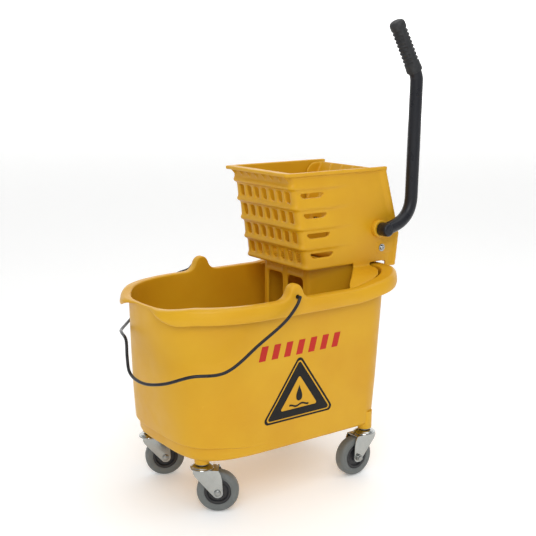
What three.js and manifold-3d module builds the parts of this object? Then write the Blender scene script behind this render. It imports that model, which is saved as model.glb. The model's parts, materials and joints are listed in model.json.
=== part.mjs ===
// Mop bucket on four swivel casters, with a side-press wringer hung on its raised rear rim.
// Millimetres, +Z up. +X points to the wringer end, -X to the pouring spout, -Y to the handle side.
// Sizes are written about the point midway between the casters, at floor level.

import * as THREE from "three";
import { mergeVertices } from "three/addons/utils/BufferGeometryUtils.js";
import Module from "manifold-3d";

const wasm = await Module();
wasm.setup();

// ---------------------------------------------------------------- driving dimensions

const clearance = 0.3; // between pieces that touch or are fitted together
const runningClearance = 0.4; // radial, between pieces that turn on each other

const wheel = { diameter: 76, width: 23, hubDiameter: 48, hubWidth: 21 };
const axle = { diameter: 8, headDiameter: 13, headHeight: 3.5, nutAcrossFlats: 13, nutHeight: 5 };
const fork = { thickness: 2.6, sideGap: 1.6, topGap: 1.6, trail: 28, domeDiameter: 43, domeHeight: 6 };
const stem = { diameter: 11, length: 30, collarDiameter: 20, collarHeight: 2.4 };

const casterHeadings = { near_spout: -36, far_spout: -23, near_rear: 180, far_rear: 196 };

const wall = 4; // bucket wall
const floorThickness = 5;
const bucketBottom = wheel.diameter + 22;
const footHeight = 8;
const footInset = 8;
const bandTop = bucketBottom + 26; // seam of the recessed lower band
const bandRecess = 6;
const rimHeight = 380;
const rimRise = 27; // how far the rim sweeps up towards the wringer
const riseFrom = 112;
const riseTo = 256;
const spoutDip = 8;
const spoutX = -60; // where the rounded spout half meets the straight sides
const basePlan = { z: bucketBottom + footHeight, front: 152, rear: 206, half: 144, power: 3.8, corner: 46 };
const waistPlan = { z: 190, front: 164, rear: 212, half: 148, power: 3.1, corner: 48 };
const rimPlan = { z: rimHeight, front: 180, rear: 225, half: 152, power: 2.3, corner: 50 };
const spoutCasters = { x: -176, y: basePlan.half - 48.4 };
const wringerCasters = { x: 176, y: basePlan.half - 12.4 };
const lip = { gap: 11, rearGap: 21, widenFrom: 110, widenTo: 200, thickness: 4, drop: 24, round: 2.5 };
const spoutGap = { from: 34, to: 88 }; // half-widths between which the lip fades out
const bossDiameter = 27;

const ear = { x: -19, top: rimHeight + 28, topRadius: 14, baseHalf: 33 };
const earHole = { z: rimHeight + 6, diameter: 8, from: rimPlan.half - 1 };
const wire = { diameter: 5.6 };

// The wringer's heights are measured from the rim it hangs on.
const basket = { half: 95, wall: 4, top: rimHeight + 207, bottom: rimHeight + 32, frontTop: 20, frontBottom: 58 };
const flange = { thickness: 7, front: 15, side: 6.5 };
const rearEdge = {
  topX: 249, elbowX: 286, elbowZ: rimHeight + 80, footX: 278, footZ: rimHeight + 16, band: 11, proud: 3,
};
const saddle = { front: 172, inner: 214, outer: 254, bottom: rimHeight - 19, seatGap: 1.5 };
const shoulder = { reach: rimPlan.half - 6, top: rimHeight + 24, belowRim: 3, thickness: 4 };
const tiers = {
  count: 5, pitch: 38, first: basket.top - 25, height: 5, frontProud: 6, sideProud: 3.4, sideEnd: 168,
};
const frontSlots = { count: 7, width: 13, height: 21 };
const sideSlots = { length: 56, height: 9, inset: 14 };
const drainSlots = { count: 6, width: 8 };

const housing = {
  front: 79, rear: 200, frontHalf: basket.half - 22, rearHalf: basket.half - 7,
  bottom: rimHeight - 118, step: rimHeight + 8, wall: 3.5,
};
const windows = { width: 48, rib: 15, top: rimHeight + 6, bottom: rimHeight - 80 };

const shaft = { x: 232, z: rimHeight + 94, acrossFlats: 17 };
const bush = { sleeveDiameter: 28, flangeDiameter: 34, nearFlange: 10, farFlange: 4 };
const gear = {
  module: 4, pinionTeeth: 16, sectorTeeth: 32, width: 10, y: basket.half - 33, angle: 33.4, backlash: 0.3,
};
const plate = {
  half: basket.half - 6.5, thickness: 4, topX: 238, topZ: basket.top + 2, wingX: 196, wingRound: 25, knuckle: 16,
};
const rod = { diameter: 8, seatDepth: 2.2 };

const lever = { diameter: 25, wall: 2, lowerAngle: 16, elbowRadius: 60, lean: 1.3, riserX: 296 };
const leverTop = { bendZ: rimHeight + 383, bendRadius: 32, angle: 29.5, length: 112 };
const grip = { diameter: 30, length: 104, endWall: 4 };
const screw = { x: 242, z: rimHeight + 55, headDiameter: 10, headHeight: 3.5, padHeight: 1.5 };

// Bends of the wire bail at rest, from the near ear round the spout to the far ear, for the ears named here.
const bailDrawnFor = { half: 152, holeZ: 386 };
const bailPoints = [
  [-27, -179, 377], [-54, -184, 353], [-112, -186, 320], [-181, -181, 280], [-234, -160, 277],
  [-262, -115, 258], [-272, -60, 247], [-268, -5, 252], [-262, 14, 274], [-255, 30, 300],
  [-247, 62, 306], [-228, 100, 300], [-196, 138, 300], [-166, 162, 308], [-132, 178, 324],
  [-96, 186, 346], [-60, 185, 370], [-27, 179, 381],
];

// ---------------------------------------------------------------- materials

const finish = (color, roughness, metalness) => () =>
  new THREE.MeshStandardMaterial({ color, roughness, metalness });
const yellowPlastic = finish(0xe0a81c, 0.42, 0);
const blackPaint = finish(0x15161a, 0.35, 0);
const blackRubber = finish(0x17181b, 0.7, 0);
const blackNylon = finish(0x1b1c1f, 0.55, 0);
const greyTyre = finish(0x62686b, 0.65, 0);
const zincSteel = finish(0xb9bcbd, 0.35, 1);
const chromeSteel = finish(0xd8dbdd, 0.12, 1);
const whiteNylon = finish(0xd9d6cb, 0.55, 0);

// ---------------------------------------------------------------- solids

const part = new THREE.Group();
const rad = THREE.MathUtils.degToRad;
const mix = THREE.MathUtils.lerp;
const smooth = THREE.MathUtils.smoothstep;

// A three.js geometry as a manifold-3d solid.
function solid(geometry) {
  const bare = geometry.clone();
  bare.deleteAttribute("normal");
  bare.deleteAttribute("uv");
  const merged = mergeVertices(bare, 1e-4);
  const mesh = new wasm.Mesh({
    numProp: 3,
    vertProperties: merged.attributes.position.array,
    triVerts: new Uint32Array(merged.index.array),
  });
  return new wasm.Manifold(mesh);
}

// A manifold-3d solid as a three.js geometry.
function geometryOf(body) {
  const mesh = body.getMesh();
  const geometry = new THREE.BufferGeometry();
  geometry.setAttribute("position", new THREE.BufferAttribute(mesh.vertProperties, 3));
  geometry.setIndex(new THREE.BufferAttribute(mesh.triVerts, 1));
  geometry.computeVertexNormals();
  return geometry;
}

const join = (...bodies) => bodies.reduce((whole, body) => whole.add(body));
const cut = (whole, ...tools) => tools.reduce((rest, tool) => rest.subtract(tool), whole);

function addMesh(name, body, material, parent = part) {
  const mesh = new THREE.Mesh(geometryOf(body), material());
  mesh.name = name;
  parent.add(mesh);
}

function block(x0, x1, y0, y1, z0, z1) {
  const geometry = new THREE.BoxGeometry(x1 - x0, y1 - y0, z1 - z0);
  geometry.translate((x0 + x1) / 2, (y0 + y1) / 2, (z0 + z1) / 2);
  return solid(geometry);
}

function shapeOf(points) {
  return new THREE.Shape(points.map(([x, z]) => new THREE.Vector2(x, z)));
}

// An outline drawn in the XZ plane, given its width along Y.
function slabXZ(shape, y0, y1, curveSegments = 8) {
  const geometry = new THREE.ExtrudeGeometry(shape, { depth: y1 - y0, bevelEnabled: false, curveSegments });
  geometry.rotateX(Math.PI / 2);
  geometry.translate(0, y1, 0);
  return solid(geometry);
}

// An outline drawn in the XY plane, given its height along Z.
function slabXY(shape, z0, z1, curveSegments = 8) {
  const geometry = new THREE.ExtrudeGeometry(shape, { depth: z1 - z0, bevelEnabled: false, curveSegments });
  geometry.translate(0, 0, z0);
  return solid(geometry);
}

// A profile of [radius, height] pairs turned about Z, listed from the bottom up its outer side.
function turned(profile, segments = 20) {
  const points = profile.map(([radius, height]) => new THREE.Vector2(radius, height));
  const geometry = new THREE.LatheGeometry(points, segments);
  geometry.rotateX(Math.PI / 2);
  return solid(geometry);
}

// The same kind of profile turned about a line along Y, its heights measured along +Y from the given place.
function turnedY(profile, x, y, z, segments = 20) {
  const points = profile.map(([radius, height]) => new THREE.Vector2(radius, height));
  const geometry = new THREE.LatheGeometry(points, segments);
  geometry.translate(x, y, z);
  return solid(geometry);
}

function cylinderY(x, z, radius, y0, y1, segments = 20) {
  const geometry = new THREE.CylinderGeometry(radius, radius, y1 - y0, segments);
  geometry.translate(x, (y0 + y1) / 2, z);
  return solid(geometry);
}

function cylinderZ(x, y, radius, z0, z1, segments = 20) {
  const geometry = new THREE.CylinderGeometry(radius, radius, z1 - z0, segments);
  geometry.rotateX(Math.PI / 2);
  geometry.translate(x, y, (z0 + z1) / 2);
  return solid(geometry);
}

// ---------------------------------------------------------------- bucket

// The plan sizes at a height, straight between the three stated plans and on past the top one.
function planAt(z) {
  const [low, high] = z < waistPlan.z ? [basePlan, waistPlan] : [waistPlan, rimPlan];
  const t = Math.max(0, (z - low.z) / (high.z - low.z));
  const between = (key) => mix(low[key], high[key], t);
  return {
    front: between("front"),
    rear: between("rear"),
    half: between("half"),
    power: between("power"),
    corner: between("corner"),
  };
}

// The bucket's plan: a superellipse round the spout half, straight sides and rounded rear corners.
function outlineAt(z) {
  const plan = planAt(z);
  const half = [];
  const spoutSteps = 9;
  for (let i = 0; i <= spoutSteps; i += 1) {
    const angle = (Math.PI / 2) * (i / spoutSteps);
    const x = spoutX - plan.front * Math.cos(angle) ** (2 / plan.power);
    half.push([x, plan.half * Math.sin(angle) ** (2 / plan.power)]);
  }
  const cornerX = plan.rear - plan.corner;
  const cornerY = plan.half - plan.corner;
  const sideSteps = 6;
  for (let i = 1; i < sideSteps; i += 1) half.push([mix(spoutX, cornerX, i / sideSteps), plan.half]);
  const cornerSteps = 5;
  for (let i = 0; i <= cornerSteps; i += 1) {
    const angle = (Math.PI / 2) * (1 - i / cornerSteps);
    half.push([cornerX + plan.corner * Math.cos(angle), cornerY + plan.corner * Math.sin(angle)]);
  }
  half.push([plan.rear, cornerY / 2]);
  half.push([plan.rear, 0]);
  const mirrored = half.slice(1, -1).reverse().map(([x, y]) => [x, -y]);
  return [...half, ...mirrored];
}

// The same outline moved outwards by a distance that may differ from point to point.
function offsetOutline(outline, distanceAt) {
  const count = outline.length;
  return outline.map(([x, y], i) => {
    const [ax, ay] = outline[(i + count - 1) % count];
    const [bx, by] = outline[(i + 1) % count];
    const length = Math.hypot(bx - ax, by - ay);
    const distance = distanceAt(x, y);
    return [x - ((by - ay) / length) * distance, y + ((bx - ax) / length) * distance];
  });
}

const rimAt = (x) =>
  rimHeight + rimRise * smooth(x, riseFrom, riseTo) - spoutDip * smooth(-x, 190, 240);
const lipShare = (x, y) => (x > spoutX ? 1 : 0.06 + 0.94 * smooth(Math.abs(y), spoutGap.from, spoutGap.to));
const bandShare = (x) => smooth(-x, spoutX + 110, -spoutX + 120);

// One ring of the bucket's skin: the plan at planZ, moved out by offset, lifted to heightAt(x, y).
function ring(planZ, offsetAt, heightAt) {
  return offsetOutline(outlineAt(planZ), offsetAt).map(([x, y], i) => {
    const [plainX, plainY] = outlineAt(planZ)[i];
    return [x, y, heightAt(plainX, plainY)];
  });
}

// A closed skin through rings of equal count, each end drawn in to its middle.
function skin(rings) {
  const count = rings[0].length;
  const ends = [rings[0], rings[rings.length - 1]];
  const middles = ends.map((end) => [0, 0, end[0][2]]);
  const rows = [Array(count).fill(middles[0]), ...rings, Array(count).fill(middles[1])];
  const last = rows.length - 1;
  const profile = rows.map((_, row) => new THREE.Vector2(row % last ? 1 : 0, row));
  const geometry = new THREE.LatheGeometry(profile, count);
  const position = geometry.attributes.position;
  for (let i = 0; i <= count; i += 1) {
    rows.forEach((row, k) => position.setXYZ(i * rows.length + k, ...row[(count - i) % count]));
  }
  return solid(geometry);
}

function bucketBody() {
  const under = (x, y) => rimAt(x) - lip.thickness * mix(0.4, 1, lipShare(x, y));
  const hem = (x, y) => under(x, y) - lip.drop * lipShare(x, y);
  const gapAt = (x) => mix(lip.gap, lip.rearGap, smooth(x, lip.widenFrom, lip.widenTo));
  const gapOut = (x, y) => 0.6 + gapAt(x) * lipShare(x, y);
  const skirtOut = (x, y) => gapOut(x, y) + lip.thickness * mix(0.25, 1, lipShare(x, y));
  const shoulderOut = (x, y) => skirtOut(x, y) - lip.round * lipShare(x, y);
  const band = (x) => -bandRecess * bandShare(x);
  const flat = (z) => () => z;
  const cavityFloor = bucketBottom + floorThickness;
  const cavityRound = 10;
  return skin([
    ring(basePlan.z, (x) => band(x) - footInset, flat(bucketBottom)),
    ring(basePlan.z, band, flat(bucketBottom + footHeight)),
    ring(bandTop, band, flat(bandTop)),
    ring(bandTop, () => 0, flat(bandTop + 3)),
    ring(waistPlan.z, () => 0, flat(waistPlan.z)),
    ring(rimPlan.z, () => 0, under),
    ring(rimPlan.z, gapOut, under),
    ring(rimPlan.z, gapOut, hem),
    ring(rimPlan.z, skirtOut, hem),
    ring(rimPlan.z, skirtOut, (x, y) => rimAt(x) - lip.round * lipShare(x, y)),
    ring(rimPlan.z, shoulderOut, rimAt),
    ring(rimPlan.z, () => -wall, rimAt),
    ring(waistPlan.z, () => -wall, flat(waistPlan.z)),
    ring(bandTop, () => -wall - bandRecess, flat(bandTop)),
    ring(basePlan.z, () => -wall - bandRecess - cavityRound, flat(cavityFloor)),
  ]);
}

const casterPlaces = {
  near_spout: [spoutCasters.x, -spoutCasters.y],
  far_spout: [spoutCasters.x, spoutCasters.y],
  near_rear: [wringerCasters.x, -wringerCasters.y],
  far_rear: [wringerCasters.x, wringerCasters.y],
};
const socketBottom = wheel.diameter + fork.topGap + fork.thickness + fork.domeHeight + stem.collarHeight + clearance;
const socketTop = socketBottom + stem.length + 8;

function earSolid(side) {
  const outer = rimPlan.half + lip.gap + lip.thickness;
  const shape = new THREE.Shape();
  const centreZ = ear.top - ear.topRadius;
  shape.moveTo(ear.x - ear.baseHalf, rimHeight - lip.drop / 2);
  shape.lineTo(ear.x - ear.baseHalf, rimHeight - lip.round);
  shape.quadraticCurveTo(ear.x - ear.topRadius - 6, rimHeight, ear.x - ear.topRadius, centreZ);
  shape.absarc(ear.x, centreZ, ear.topRadius, Math.PI, 0, true);
  shape.quadraticCurveTo(ear.x + ear.topRadius + 6, rimHeight, ear.x + ear.baseHalf, rimHeight - lip.round);
  shape.lineTo(ear.x + ear.baseHalf, rimHeight - lip.drop / 2);
  const span = (from, to) => [side * from, side * to].sort((a, b) => a - b);
  const body = slabXZ(shape, ...span(rimPlan.half - wall, outer + 2), 5);
  const hollow = block(
    ear.x - ear.baseHalf + 5, ear.x + ear.baseHalf - 5,
    ...span(rimPlan.half + 0.6, rimPlan.half + lip.gap),
    rimHeight - lip.drop, rimHeight - lip.thickness,
  );
  return cut(body, hollow);
}

function addBucket() {
  let body = bucketBody();
  for (const side of [-1, 1]) body = body.add(earSolid(side));
  const holeRadius = earHole.diameter / 2;
  for (const side of [-1, 1]) {
    const span = [side * earHole.from, side * (rimPlan.half + 30)].sort((a, b) => a - b);
    body = body.subtract(cylinderY(ear.x, earHole.z, holeRadius, ...span, 12));
  }
  for (const [x, y] of Object.values(casterPlaces)) {
    body = body.add(cylinderZ(x, y, bossDiameter / 2, socketBottom, socketTop));
  }
  for (const [x, y] of Object.values(casterPlaces)) {
    const boreRadius = stem.diameter / 2 + clearance;
    body = body.subtract(cylinderZ(x, y, boreRadius, socketBottom - 1, socketBottom + stem.length + 1, 12));
  }
  addMesh("bucket", body, yellowPlastic);
}

// ---------------------------------------------------------------- wire bail

// A round bar along a list of points, its bends rounded.
function bar(points, radius, steps, sides) {
  const path = new THREE.CatmullRomCurve3(points.map((p) => new THREE.Vector3(...p)), false, "centripetal");
  return barAlong(path, radius, steps, sides);
}

function circleShape(radius, sides) {
  const corners = [];
  for (let i = 0; i < sides; i += 1) {
    const angle = (2 * Math.PI * i) / sides;
    corners.push(new THREE.Vector2(radius * Math.cos(angle), radius * Math.sin(angle)));
  }
  return new THREE.Shape(corners);
}

function barAlong(path, radius, steps, sides) {
  return solid(new THREE.ExtrudeGeometry(circleShape(radius, sides), { steps, extrudePath: path }));
}

function addBail() {
  const radius = wire.diameter / 2;
  const inside = earHole.from + 0.8;
  const stretch = rimPlan.half / bailDrawnFor.half;
  const rise = earHole.z - bailDrawnFor.holeZ;
  const points = bailPoints.map(([x, y, z]) => [x, y * stretch, z + rise]);
  const run = bar(points, radius, 44, 8);
  const outside = Math.abs(points[0][1]);
  const ends = [-1, 1].map((side) => {
    const start = side < 0 ? points[0] : points[points.length - 1];
    const hook = bar([
      [start[0] - 2, start[1], start[2] - 1.5],
      [start[0] + 4, side * (outside + 0.6), start[2] + 5],
      [ear.x, side * (outside + 0.2), earHole.z],
    ], radius, 4, 8);
    const pin = side < 0
      ? cylinderY(ear.x, earHole.z, radius, -outside - radius, -inside, 10)
      : cylinderY(ear.x, earHole.z, radius, inside, outside + radius, 10);
    return join(hook, pin);
  });
  addMesh("bail_wire", join(run, ...ends), blackPaint);
}

// ---------------------------------------------------------------- casters

const wheelRadius = wheel.diameter / 2;
const crownBottom = wheel.diameter + fork.topGap;
const crownTop = crownBottom + fork.thickness;
const domeTop = crownTop + fork.domeHeight;
const legInner = wheel.width / 2 + fork.sideGap;
const legOuter = legInner + fork.thickness;

// Caster pieces stand with the stem on the Z axis and the wheel trailing towards +X.
function casterStem() {
  const pin = stem.diameter / 2;
  const collar = stem.collarDiameter / 2;
  return turned([
    [0, crownBottom + 0.6],
    [pin, crownBottom + 0.6],
    [pin, domeTop + clearance],
    [collar, domeTop + clearance],
    [collar, domeTop + stem.collarHeight],
    [pin, domeTop + stem.collarHeight],
    [pin, socketBottom + stem.length - 1],
    [pin - 1, socketBottom + stem.length],
    [0, socketBottom + stem.length],
  ], 12);
}

function casterFork() {
  const legShape = new THREE.Shape();
  legShape.moveTo(-16, crownTop);
  legShape.lineTo(-16, crownBottom - 4);
  legShape.lineTo(fork.trail - 7, wheelRadius - 6.5);
  legShape.absarc(fork.trail, wheelRadius, 9, -2.4, 0, false);
  legShape.lineTo(fork.trail + 8, crownBottom - 14);
  legShape.lineTo(fork.trail + 3, crownTop);
  const near = slabXZ(legShape, -legOuter, -legInner, 6);
  const far = slabXZ(legShape, legInner, legOuter, 6);
  const crown = block(-16, fork.trail + 3, -legOuter, legOuter, crownBottom, crownTop);
  const radius = fork.domeDiameter / 2;
  const dome = turned([
    [0, crownTop - 1.8],
    [radius - 2, crownTop - 1.8],
    [radius, crownTop + 0.6],
    [radius - 1.5, crownTop + 3],
    [radius - 7, domeTop - 0.6],
    [radius - 11, domeTop],
    [0, domeTop],
  ], 18);
  const bore = cylinderZ(0, 0, stem.diameter / 2 + runningClearance, crownBottom - 1, domeTop + 1, 16);
  const axleHole = cylinderY(fork.trail, wheelRadius, axle.diameter / 2 + clearance, -legOuter - 1, legOuter + 1, 12);
  return cut(join(near, far, crown, dome), bore, axleHole);
}

function casterAxle() {
  const radius = axle.diameter / 2;
  const seat = legOuter + clearance;
  const shank = cylinderY(fork.trail, wheelRadius, radius, -seat - 1, seat + axle.nutHeight + 1.5, 12);
  const head = cylinderY(fork.trail, wheelRadius, axle.headDiameter / 2, -seat - axle.headHeight, -seat, 12);
  return join(shank, head);
}

function hexagonY(x, z, acrossFlats, y0, y1) {
  const radius = acrossFlats / 2 / Math.cos(Math.PI / 6);
  return cylinderY(x, z, radius, y0, y1, 6);
}

function casterNut() {
  const seat = legOuter + clearance;
  const nut = hexagonY(fork.trail, wheelRadius, axle.nutAcrossFlats, seat, seat + axle.nutHeight);
  const thread = cylinderY(fork.trail, wheelRadius, axle.diameter / 2 + clearance, seat - 1, seat + 20, 12);
  return cut(nut, thread);
}

// A ring turned about the wheel's own axis, from [radius, half-width] pairs of its outer half section.
function wheelRing(outerHalf, innerRadius, innerHalf, segments) {
  const right = outerHalf.map(([radius, half]) => [radius, half]);
  const left = [...outerHalf].reverse().map(([radius, half]) => [radius, -half]);
  const profile = [[innerRadius, -innerHalf], ...left, ...right, [innerRadius, innerHalf], [innerRadius, -innerHalf]];
  return turnedY(profile, fork.trail, 0, wheelRadius, segments);
}

function casterTyre() {
  const half = wheel.width / 2;
  return wheelRing(
    [[wheelRadius, half - 5], [wheelRadius - 1.6, half - 1.6], [wheelRadius - 6, half]],
    wheel.hubDiameter / 2 + clearance, half - 1, 24,
  );
}

function casterHub() {
  const rim = wheel.hubDiameter / 2;
  const half = wheel.hubWidth / 2;
  return wheelRing(
    [[rim, half - 0.8], [rim - 3, half], [rim - 5, half - 3], [10, half - 3], [9, half + 1]],
    axle.diameter / 2 + runningClearance, half + 1, 16,
  );
}

function addCaster(place, [x, y]) {
  const still = new THREE.Group();
  still.position.set(x, y, 0);
  const swivel = new THREE.Group();
  swivel.position.set(x, y, 0);
  swivel.rotation.z = rad(casterHeadings[place]);
  part.add(still, swivel);
  addMesh(`caster_stem_${place}`, casterStem(), zincSteel, still);
  addMesh(`caster_fork_${place}`, casterFork(), chromeSteel, swivel);
  addMesh(`caster_axle_${place}`, casterAxle(), zincSteel, swivel);
  addMesh(`caster_nut_${place}`, casterNut(), zincSteel, swivel);
  addMesh(`caster_tyre_${place}`, casterTyre(), greyTyre, swivel);
  addMesh(`caster_hub_${place}`, casterHub(), blackNylon, swivel);
}

// ---------------------------------------------------------------- wringer basket

const frontXAt = (z) => {
  const t = (basket.top - z) / (basket.top - basket.bottom);
  return mix(basket.frontTop, basket.frontBottom, t);
};
const seatZ = rimHeight + rimRise + saddle.seatGap;
const pivot = new THREE.Vector2(
  shaft.x - (gear.module / 2) * (gear.pinionTeeth + gear.sectorTeeth) * Math.cos(rad(gear.angle)),
  shaft.z - (gear.module / 2) * (gear.pinionTeeth + gear.sectorTeeth) * Math.sin(rad(gear.angle)),
);

// Side wall outline, with the saddle that straddles the bucket's rear rim.
const sideOutline = [
  [basket.frontTop, basket.top],
  [basket.frontBottom, basket.bottom],
  [saddle.front, basket.bottom],
  [saddle.front, saddle.bottom],
  [saddle.inner, saddle.bottom],
  [saddle.inner, seatZ],
  [saddle.outer, seatZ],
  [saddle.outer, rearEdge.footZ],
  [rearEdge.footX, rearEdge.footZ],
  [rearEdge.elbowX, rearEdge.elbowZ],
  [rearEdge.topX, basket.top],
];

// The strip along the slanting rear edge, standing out as a stiffening band.
const rearBand = [
  [rearEdge.topX - rearEdge.band, basket.top],
  [rearEdge.elbowX - rearEdge.band, rearEdge.elbowZ],
  [rearEdge.footX - rearEdge.band, rearEdge.footZ],
  [rearEdge.footX, rearEdge.footZ],
  [rearEdge.elbowX, rearEdge.elbowZ],
  [rearEdge.topX, basket.top],
];

function basketWalls() {
  const { half, top, bottom } = basket;
  const sides = [-1, 1].map((side) => {
    const [y0, y1] = side < 0 ? [-half, -half + basket.wall] : [half - basket.wall, half];
    const [band0, band1] = side < 0 ? [-half - rearEdge.proud, -half + 1] : [half - 1, half + rearEdge.proud];
    const body = join(slabXZ(shapeOf(sideOutline), y0, y1), slabXZ(shapeOf(rearBand), band0, band1));
    const pad0 = side < 0 ? -half - screw.padHeight : half - 1;
    const pad = block(screw.x - 12, screw.x + 26, pad0, pad0 + screw.padHeight + 1, screw.z - 9, screw.z + 9);
    return join(body, pad);
  });
  const front = slabXZ(shapeOf([
    [frontXAt(top), top],
    [frontXAt(bottom), bottom],
    [frontXAt(bottom) + basket.wall, bottom],
    [frontXAt(top) + basket.wall, top],
  ]), -half, half);
  const floorEnd = pivot.x - plate.knuckle / 2 - 3;
  const floor = block(frontXAt(bottom), floorEnd, -half + 1, half - 1, bottom, bottom + basket.wall);
  return join(...sides, front, floor);
}

function basketFlange() {
  const { half, top } = basket;
  const outer = block(
    basket.frontTop - flange.front, rearEdge.topX + 1,
    -half - flange.side, half + flange.side,
    top, top + flange.thickness,
  );
  const opening = block(
    basket.frontTop + basket.wall, rearEdge.topX + 10,
    -half + basket.wall, half - basket.wall,
    top - 1, top + flange.thickness + 1,
  );
  return cut(outer, opening);
}

function basketTiers() {
  const ribs = [];
  for (let i = 0; i < tiers.count; i += 1) {
    const low = tiers.first - i * tiers.pitch;
    const high = low + tiers.height;
    const face = frontXAt(low);
    const { half } = basket;
    ribs.push(block(face - tiers.frontProud, face + 2.5, -half - 2, half + 2, low, high));
    const reach = half + tiers.sideProud;
    ribs.push(block(face, tiers.sideEnd, -reach, -half + 1, low, high));
    ribs.push(block(face, tiers.sideEnd, half - 1, reach, low, high));
  }
  return join(...ribs);
}

// The shoulder on one side, filling the corner of the bucket's mouth beside the saddle and sloping to the rim.
function basketShoulder(side) {
  const root = basket.half - 2;
  const plan = [
    [saddle.front, root], [saddle.inner, root], [saddle.inner, shoulder.reach - 36],
    [210, shoulder.reach - 22], [196, shoulder.reach - 7], [175, shoulder.reach],
    [120, shoulder.reach], [130, shoulder.reach - 13], [150, shoulder.reach - 31],
  ];
  const outline = side < 0 ? plan.map(([x, y]) => [x, -y]).reverse() : plan;
  const settings = { depth: shoulder.thickness, bevelEnabled: false };
  const geometry = new THREE.ExtrudeGeometry(shapeOf(outline), settings);
  const position = geometry.attributes.position;
  for (let i = 0; i < position.count; i += 1) {
    const outward = (Math.abs(position.getY(i)) - root) / (shoulder.reach - root);
    const top = mix(shoulder.top, rimAt(position.getX(i)) - shoulder.belowRim, outward);
    position.setZ(i, position.getZ(i) + top - shoulder.thickness);
  }
  return solid(geometry);
}

function basketSlots() {
  const tools = [];
  const { half } = basket;
  for (let tier = 0; tier < tiers.count - 1; tier += 1) {
    const top = tiers.first - tier * tiers.pitch - 5;
    const face = frontXAt(top);
    const pitch = (2 * half - 16) / frontSlots.count;
    for (let i = 0; i < frontSlots.count; i += 1) {
      const y = -half + 8 + pitch * (i + 0.5);
      const y0 = y - frontSlots.width / 2;
      tools.push(block(face - 8, face + 14, y0, y0 + frontSlots.width, top - frontSlots.height, top));
    }
    const slotTop = top - 3;
    const from = face + sideSlots.inset;
    tools.push(block(from, from + sideSlots.length, -half - 5, -half + 10, slotTop - sideSlots.height, slotTop));
  }
  const first = basket.frontBottom + 12;
  const pitch = (pivot.x - plate.knuckle - 8 - first) / drainSlots.count;
  for (let i = 0; i < drainSlots.count; i += 1) {
    const x = first + pitch * i;
    tools.push(block(x, x + drainSlots.width / 2, -half + 30, half - 30, basket.bottom - 2, basket.bottom + 8));
  }
  return join(...tools);
}

function addBasket() {
  const { half } = basket;
  const bore = bush.sleeveDiameter / 2 + clearance;
  const bushHoles = cylinderY(shaft.x, shaft.z, bore, -half - 20, half + 20);
  const reach = half - basket.wall + rod.seatDepth;
  const rodSeat = cylinderY(pivot.x, pivot.y, rod.diameter / 2 + clearance, -reach, reach, 12);
  const screwHoles = cylinderY(screw.x, screw.z, 2 + clearance, -half - 20, half + 20, 10);
  const shoulders = [-1, 1].map(basketShoulder);
  const whole = join(basketWalls(), basketFlange(), basketTiers(), ...shoulders);
  const body = cut(whole, basketSlots(), bushHoles, rodSeat, screwHoles);
  addMesh("wringer_basket", body, yellowPlastic);
}

function addRearCover() {
  const half = basket.half - basket.wall - clearance;
  const inset = 3;
  const thickness = 4;
  const outside = [
    [rearEdge.topX - inset, basket.top],
    [rearEdge.elbowX - inset, rearEdge.elbowZ],
    [rearEdge.footX - inset, rearEdge.footZ + 4],
  ];
  const inside = outside.map(([x, z]) => [x - thickness, z]).reverse();
  const ledge = block(saddle.outer + 2, rearEdge.footX - inset - 1, -half, half, seatZ, seatZ + thickness);
  addMesh("wringer_rear_cover", join(slabXZ(shapeOf([...outside, ...inside]), -half, half), ledge), yellowPlastic);
}

// ---------------------------------------------------------------- wringer lower housing

// A four-sided plan, wider at the rear, between two heights.
function housingBlock(inset, z0, z1, front, rear) {
  const halfAt = (x) => mix(housing.frontHalf, housing.rearHalf, (x - housing.front) / (housing.rear - housing.front));
  const plan = [
    [front + inset, -halfAt(front) + inset],
    [rear - inset, -halfAt(rear) + inset],
    [rear - inset, halfAt(rear) - inset],
    [front + inset, halfAt(front) - inset],
  ];
  return slabXY(shapeOf(plan), z0, z1);
}

function addHousing() {
  const { front, rear, bottom, step } = housing;
  const top = basket.bottom - clearance;
  const outer = housingBlock(0, bottom, top, front, rear);
  const lowCavity = housingBlock(housing.wall, bottom - 1, step + 1, front, rear);
  const highCavity = housingBlock(housing.wall, step, top + 1, front, rear + 20);
  const near = [-windows.rib / 2 - windows.width, -windows.rib / 2];
  const openings = [near, near.map((y) => -y).reverse()].map(([y0, y1]) =>
    block(front - 5, front + 10, y0, y1, windows.bottom, windows.top));
  addMesh("wringer_housing", cut(outer, lowCavity, highCavity, ...openings), yellowPlastic);
}

// ---------------------------------------------------------------- shaft, gears and press plate

// The outline of an involute gear about the origin, from one tooth to another, chords inside the true flank.
function toothPoints(teeth, from, count, phase) {
  const pitchRadius = (gear.module * teeth) / 2;
  const baseRadius = pitchRadius * Math.cos(rad(20));
  const tip = pitchRadius + 0.95 * gear.module;
  const root = pitchRadius - 1.25 * gear.module;
  const involute = (radius) => {
    const pressure = Math.acos(Math.min(1, baseRadius / radius));
    return Math.tan(pressure) - pressure;
  };
  const pitchHalf = Math.PI / (2 * teeth) - gear.backlash / pitchRadius;
  const halfAt = (radius) => pitchHalf + involute(pitchRadius) - involute(Math.max(radius, baseRadius));
  const points = [];
  for (let i = 0; i < count; i += 1) {
    const middle = phase + ((from + i) * 2 * Math.PI) / teeth;
    const flank = [root, pitchRadius, tip];
    const rising = flank.map((radius) => [radius, middle - halfAt(radius)]);
    const falling = flank.map((radius) => [radius, middle + halfAt(radius)]).reverse();
    for (const [radius, angle] of [...rising, ...falling]) {
      points.push([radius * Math.cos(angle), radius * Math.sin(angle)]);
    }
  }
  return points;
}

function placed(points, centreX, centreZ) {
  return points.map(([x, z]) => [x + centreX, z + centreZ]);
}

const sides = { near: -1, far: 1 };

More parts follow.
